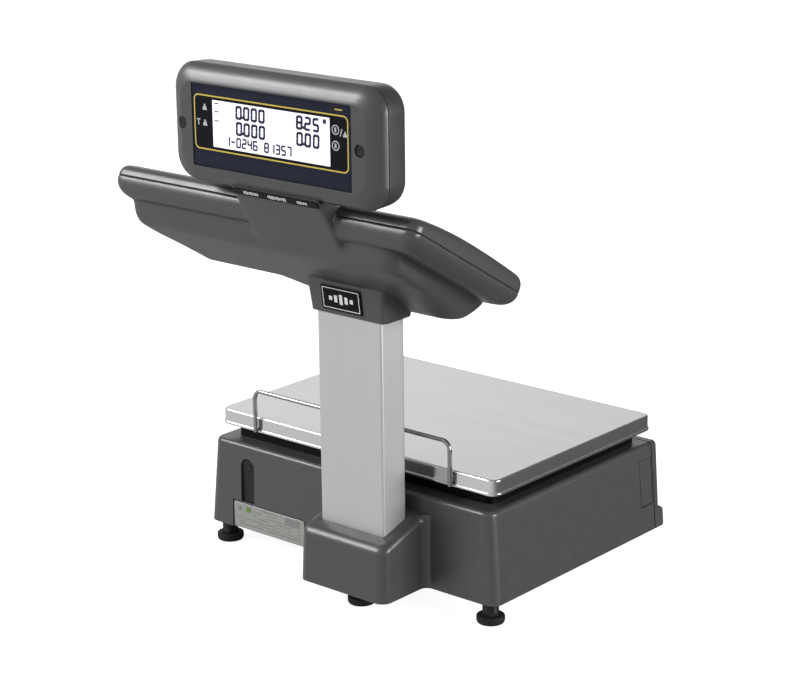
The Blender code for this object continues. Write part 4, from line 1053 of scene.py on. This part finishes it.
def segment_shapes(text, x, top, high, wide, pitch, thick):
    """Outlines, in x and z, of a number in seven segments with its top left corner at (x, top)."""
    polygons = []
    half, t, cut = high / 2, thick / 2, thick * 0.3
    bars = {
        "a": (0, 0, wide, 0), "g": (0, -half, wide, -half), "d": (0, -high, wide, -high),
        "f": (0, 0, 0, -half), "e": (0, -half, 0, -high),
        "b": (wide, 0, wide, -half), "c": (wide, -half, wide, -high),
    }
    for sign in text:
        if sign == ".":
            left, side = x - pitch + wide + thick * 0.35, thick * 1.1
            polygons.append(bar(left, left + side, top - high, top - high + side))
            continue
        for name in SEGMENTS[sign]:
            ax, az, bx, bz = bars[name]
            if az == bz:
                ax, bx = ax - cut, bx + cut
                line = [(ax, az), (ax + t, az + t), (bx - t, az + t)]
                line += [(bx, az), (bx - t, az - t), (ax + t, az - t)]
            else:
                az, bz = az + cut, bz - cut
                line = [(ax, az), (ax + t, az - t), (ax + t, bz + t)]
                line += [(ax, bz), (ax - t, bz + t), (ax - t, az - t)]
            polygons.append([(x + px + 0.05 * (pz + high), top + pz) for px, pz in line])
        x += pitch
    return polygons


def ring_shape(outer, inner, y0, y1):
    """A flat ring along Y between two outlines with equally many points."""
    shape = bmesh.new()
    around = ((outer, y0), (outer, y1), (inner, y1), (inner, y0))
    rows = [[shape.verts.new((x, y, z)) for x, z in outline] for outline, y in around]
    for a, b in zip(rows, rows[1:] + rows[:1]):
        for i in range(len(a)):
            j = (i + 1) % len(a)
            shape.faces.new((a[i], a[j], b[j], b[i]))
    return shape


def weight_icon(x, z, size):
    body = [(x, z), (x + size, z), (x + size * 0.8, z + size * 0.62), (x + size * 0.2, z + size * 0.62)]
    return [body, circle(x + size * 0.5, z + size * 0.78, size * 0.2, 12)]


def face_of(side, sign):
    """A display seen through its window. sign is 1 on the customer's side and -1 on the operator's."""
    x0, x1, y0, y1, z0, z1 = span(f"{side}_window")
    lx0, lx1, _, _, lz0, lz1 = span(f"{side}_lcd")
    lx0, lx1, lz0, lz1 = lx0 + 0.004, lx1 - 0.004, lz0 + 0.005, lz1 - 0.005
    outer_y = y0 if sign > 0 else y1
    turn = Matrix.Identity(4)
    if sign < 0:
        turn = Matrix.Translation((x0 + x1, 0, 0)) @ Matrix.Diagonal((-1, 1, 1, 1))

    def layer(outlines, depth, thick, hole=None):
        """Bodies between two depths behind the window's face, or one ring round a hole."""
        a, b = sorted((outer_y + sign * depth, outer_y + sign * (depth + thick)))
        if hole:
            shapes = [ring_shape(outlines[0], hole, a, b)]
        else:
            shapes = [prism("Y", a, b, outline) for outline in outlines]
        return moved(merged(shapes), turn)

    def put(name, shape, finish, **more):
        return piece(f"{side}_{name}", shape, finish, body="scale", weighted=False, **more)

    depths = (y0 + 0.0006, y1) if sign > 0 else (y0, y1 - 0.0006)
    plate = prism("Y", *depths, window_outline(f"{side}_window"))
    piece(f"{side}_window_plate", plate, navy_glass, f"{side}_window", slot="window_glass", bevel=0.0003)
    sides = x0 + 0.0025, x1 - 0.0035, z0 + 0.017, z1 - 0.010
    outer = rounded(*sides, 0.006)
    inner = rounded(*drawn_in(*sides, 0.0014), 0.0046)
    put("window_line", layer([outer], 0.0004, 0.00035, inner), yellow_print)
    put("window_field", layer([inner], 0.0005, 0.0002), black_glass)
    field = layer([rounded(lx0, lx1, lz0, lz1, 0.0006)], 0.0004, 0.0002)
    put("lcd_field", field, lcd_white, slot="lcd_white")
    marks = []
    for number, (a, b) in enumerate((("0.000", "8.25"), ("0.000", "0.00"))):
        top = lz1 - 0.0032 - 0.0157 * number
        marks += segment_shapes(a, lx0 + 0.0322, top, 0.0112, 0.0060, 0.0101, 0.0026)
        marks += segment_shapes(b, lx0 + 0.1114, top, 0.0112, 0.0060, 0.0105, 0.0026)
    marks += segment_shapes("1-0246 81357", lx0 + 0.0170, lz1 - 0.0342, 0.0084, 0.0046, 0.0074, 0.0018)
    marks += [bar(lx0 + 0.003, lx0 + 0.0085, lz1 - z, lz1 - z + 0.0011) for z in (0.0035, 0.0115, 0.0205)]
    marks.append(bar(lx1 - 0.0085, lx1 - 0.0043, lz1 - 0.0062, lz1 - 0.0020))
    put("lcd_numbers", layer(marks, 0.0003, 0.00012), lcd_ink)
    centres = [(lx1 + 0.00725, lz1 - 0.01025), (lx1 + 0.00725, lz1 - 0.02525)]
    icons = [circle(*centre, 0.00475, 24) for centre in centres]
    icons += weight_icon(lx0 - 0.0135, lz1 - 0.0110, 0.0062)
    icons += weight_icon(lx0 - 0.0135, lz1 - 0.0265, 0.0062)
    icons += weight_icon(lx1 + 0.0165, lz1 - 0.0160, 0.0055)
    icons.append(bar(lx0 - 0.0215, lx0 - 0.0170, lz1 - 0.0215, lz1 - 0.0202))
    icons.append(bar(lx0 - 0.0200, lx0 - 0.0186, lz1 - 0.0265, lz1 - 0.0215))
    slash = ((0.0125, 0.0160), (0.0137, 0.0160), (0.0160, 0.0085), (0.0148, 0.0085))
    icons.append([(lx1 + x, lz1 - z) for x, z in slash])
    put("window_icons", layer(icons, 0.0003, 0.00012), icon_print)
    dark = [circle(*centre, 0.0036, 24) for centre in centres]
    put("icon_fields", layer(dark, 0.00022, 0.0001), black_glass)
    signs = [bar(cx - 0.0012, cx + 0.0012, cz - 0.0022, cz + 0.0022) for cx, cz in centres]
    put("icon_signs", layer(signs, 0.00015, 0.0001), icon_print)
    dots = []
    for band_low, band_high in ((z0 + 0.0035, z0 + 0.0145), (z1 - 0.0075, z1 - 0.0025)):
        rows = round((band_high - band_low) / 0.0018)
        for row in range(rows):
            for column in range(112):
                cx, cz = x0 + 0.004 + 0.0018 * column, band_low + 0.0018 * row
                if cx < x1 - 0.004:
                    dots.append(circle(cx, cz, 0.00042, 6))
    put("window_dots", layer(dots, 0.0005, 0.0002), dot_print)
    dash = bar(x1 - 0.020, x1 - 0.011, z1 - 0.0058, z1 - 0.0046)
    put("window_dash", layer([dash], 0.0003, 0.0002), yellow_print)


# ---------------------------------------------------------------- printer


def printer_pieces():
    x0, x1, _, _, z0, z1 = span("label_roll")
    centre = middle_of("label_roll", "X")
    radius, core = (z1 - z0) / 2, 0.0128
    turns = []
    while radius > core + 0.0012:
        turns += [(0, radius), (0.0003, radius - 0.0006)]
        radius -= 0.0012
    left = [(x0 + depth, radius) for depth, radius in reversed(turns)]
    right = [(x1 - depth, radius) for depth, radius in turns]
    shape = turned("X", centre, [(x0, core + 0.0004), *left, *right, (x1, core + 0.0004)], 96)
    roll = combined(shape, cuts=[rod("X", centre, x0 - 0.01, x1 + 0.01, core, 64)])
    piece("label_roll_paper", roll, paper, "label_roll", slot="paper", sharp=60)
    x0, x1 = span("platen_roller")[:2]
    shaft, tread = 0.0025, 0.007
    steps = [(x0, shaft - 0.0004), (x0 + 0.0004, shaft), (0.0885, shaft), (0.0886, tread - 0.0005)]
    steps += [(0.0892, tread), (0.1608, tread), (0.1614, tread - 0.0005), (0.1615, shaft)]
    steps += [(x1 - 0.0004, shaft), (x1, shaft - 0.0004)]
    roller = turned("X", middle_of("platen_roller", "X"), steps)
    piece("platen_roller_tread", roller, black_rubber, "platen_roller", slot="black_rubber")


CARRIED = (
    (steel, ("base_tray", "power_supply", "overload_stop", "column_bracket", "head_bracket")),
    (steel, ("printer_chassis", "stepper_motor", "door_hinge_pin")),
    (green_board, ("main_board", "keyboard_board", "display_board")),
    (machined, ("load_cell", "print_head")),
    (cast_metal, ("load_cell_mount", "platter_support")),
    (grey_cable, ("column_cable",)),
    (gear_plastic, ("motor_pinion", "idler_gear", "platen_gear", "roll_spindle")),
    (polished, ("tear_bar",)),
    (lcd_white, ("customer_lcd", "operator_lcd")),
)


def finish_carried():
    """Gives the nodes that no piece replaces their own look."""
    for finish, names in CARRIED:
        for name in names:
            materials = frame["nodes"][name].data.materials
            count = len(materials)
            materials.clear()
            for _ in range(max(count, 1)):
                materials.append(finish)


# ---------------------------------------------------------------- stage


def studio_air():
    """Surroundings that are bright in front of the scale on the left and dim behind it on the right."""
    world = bpy.data.worlds.new("studio")
    bpy.context.scene.world = world
    world.use_nodes = True
    tree = world.node_tree
    nodes, links = tree.nodes, tree.links
    where = nodes.new("ShaderNodeTexCoord")
    toward = nodes.new("ShaderNodeVectorMath")
    toward.operation = "DOT_PRODUCT"
    toward.inputs[1].default_value = (-0.65, -0.76, 0)
    links.new(where.outputs["Generated"], toward.inputs[0])
    side = nodes.new("ShaderNodeMapRange")
    side.interpolation_type = "SMOOTHSTEP"
    for socket, value in (("From Min", -0.75), ("From Max", 0.9), ("To Min", 0.13), ("To Max", 0.70)):
        side.inputs[socket].default_value = value
    links.new(toward.outputs["Value"], side.inputs["Value"])
    lit = nodes["Background"]
    links.new(side.outputs["Result"], lit.inputs["Strength"])
    seen = nodes.new("ShaderNodeBackground")
    seen.inputs["Strength"].default_value = 1.05
    for shader in (lit, seen):
        shader.inputs["Color"].default_value = (1, 1, 1, 1)
    rays = nodes.new("ShaderNodeLightPath")
    either = nodes.new("ShaderNodeMixShader")
    links.new(rays.outputs["Is Camera Ray"], either.inputs[0])
    links.new(lit.outputs[0], either.inputs[1])
    links.new(seen.outputs[0], either.inputs[2])
    links.new(either.outputs[0], nodes["World Output"].inputs["Surface"])


def floor_and_lights():
    mesh = bpy.data.meshes.new("floor")
    far = 14
    mesh.from_pydata([(-far, -far, 0), (far, -far, 0), (far, far, 0), (-far, far, 0)], [], [(0, 1, 2, 3)])
    ground = bpy.data.objects.new("floor", mesh)
    bpy.context.scene.collection.objects.link(ground)
    glow = {"scale": 3, "emission": ((1, 1, 1), 0.85)}
    mesh.materials.append(look("floor_white", (0.55, 0.55, 0.55), 0.8, tint=0.004, **glow))
    ground.visible_diffuse = False
    ground.visible_glossy = False
    studio_air()
    for name, toward, away, size, power in (
        ("key", (-0.62, -0.61, 0.49), 2.8, (1.5, 0.9), 56),
        ("back", (-0.62, 0.73, 0.38), 2.8, (2.4, 1.2), 9.5),
        ("fill", (0.93, 0.18, 0.11), 2.6, (1.6, 0.9), 66),
    ):
        lamp = bpy.data.lights.new(name, "AREA")
        lamp.shape = "RECTANGLE"
        lamp.energy, lamp.size, lamp.size_y = power, *size
        obj = bpy.data.objects.new(name, lamp)
        direction = Vector(toward).normalized()
        obj.location = Vector((0, 0, 0.3)) + away * direction
        obj.rotation_euler = (-direction).to_track_quat("-Z", "Y").to_euler()
        obj.visible_camera = False
        bpy.context.scene.collection.objects.link(obj)
    bpy.context.scene.view_settings.view_transform = "Standard"


def camera():
    yaw, pitch, roll = math.radians(-40.6), math.radians(16.58), math.radians(0.63)
    ahead = Vector((math.sin(yaw) * math.cos(pitch), math.cos(yaw) * math.cos(pitch), -math.sin(pitch)))
    level = Vector((math.cos(yaw), -math.sin(yaw), 0))
    down = ahead.cross(level)
    right = math.cos(roll) * level + math.sin(roll) * down
    below = -math.sin(roll) * level + math.cos(roll) * down
    data = bpy.data.cameras.new("camera")
    data.sensor_width = 36
    data.lens = data.sensor_width * PHOTO_LENS
    obj = bpy.data.objects.new("camera", data)
    bpy.context.scene.collection.objects.link(obj)
    turn = Matrix((right, -below, -ahead)).transposed().to_4x4()
    obj.matrix_world = Matrix.Translation(ORIGIN + Vector((1.5193, -1.8376, 0.9405))) @ turn
    bpy.context.scene.camera = obj


base_pieces()
platter_pieces()
column_pieces()
head_pieces()
display_pieces()
printer_pieces()
finish_carried()
floor_and_lights()
camera()
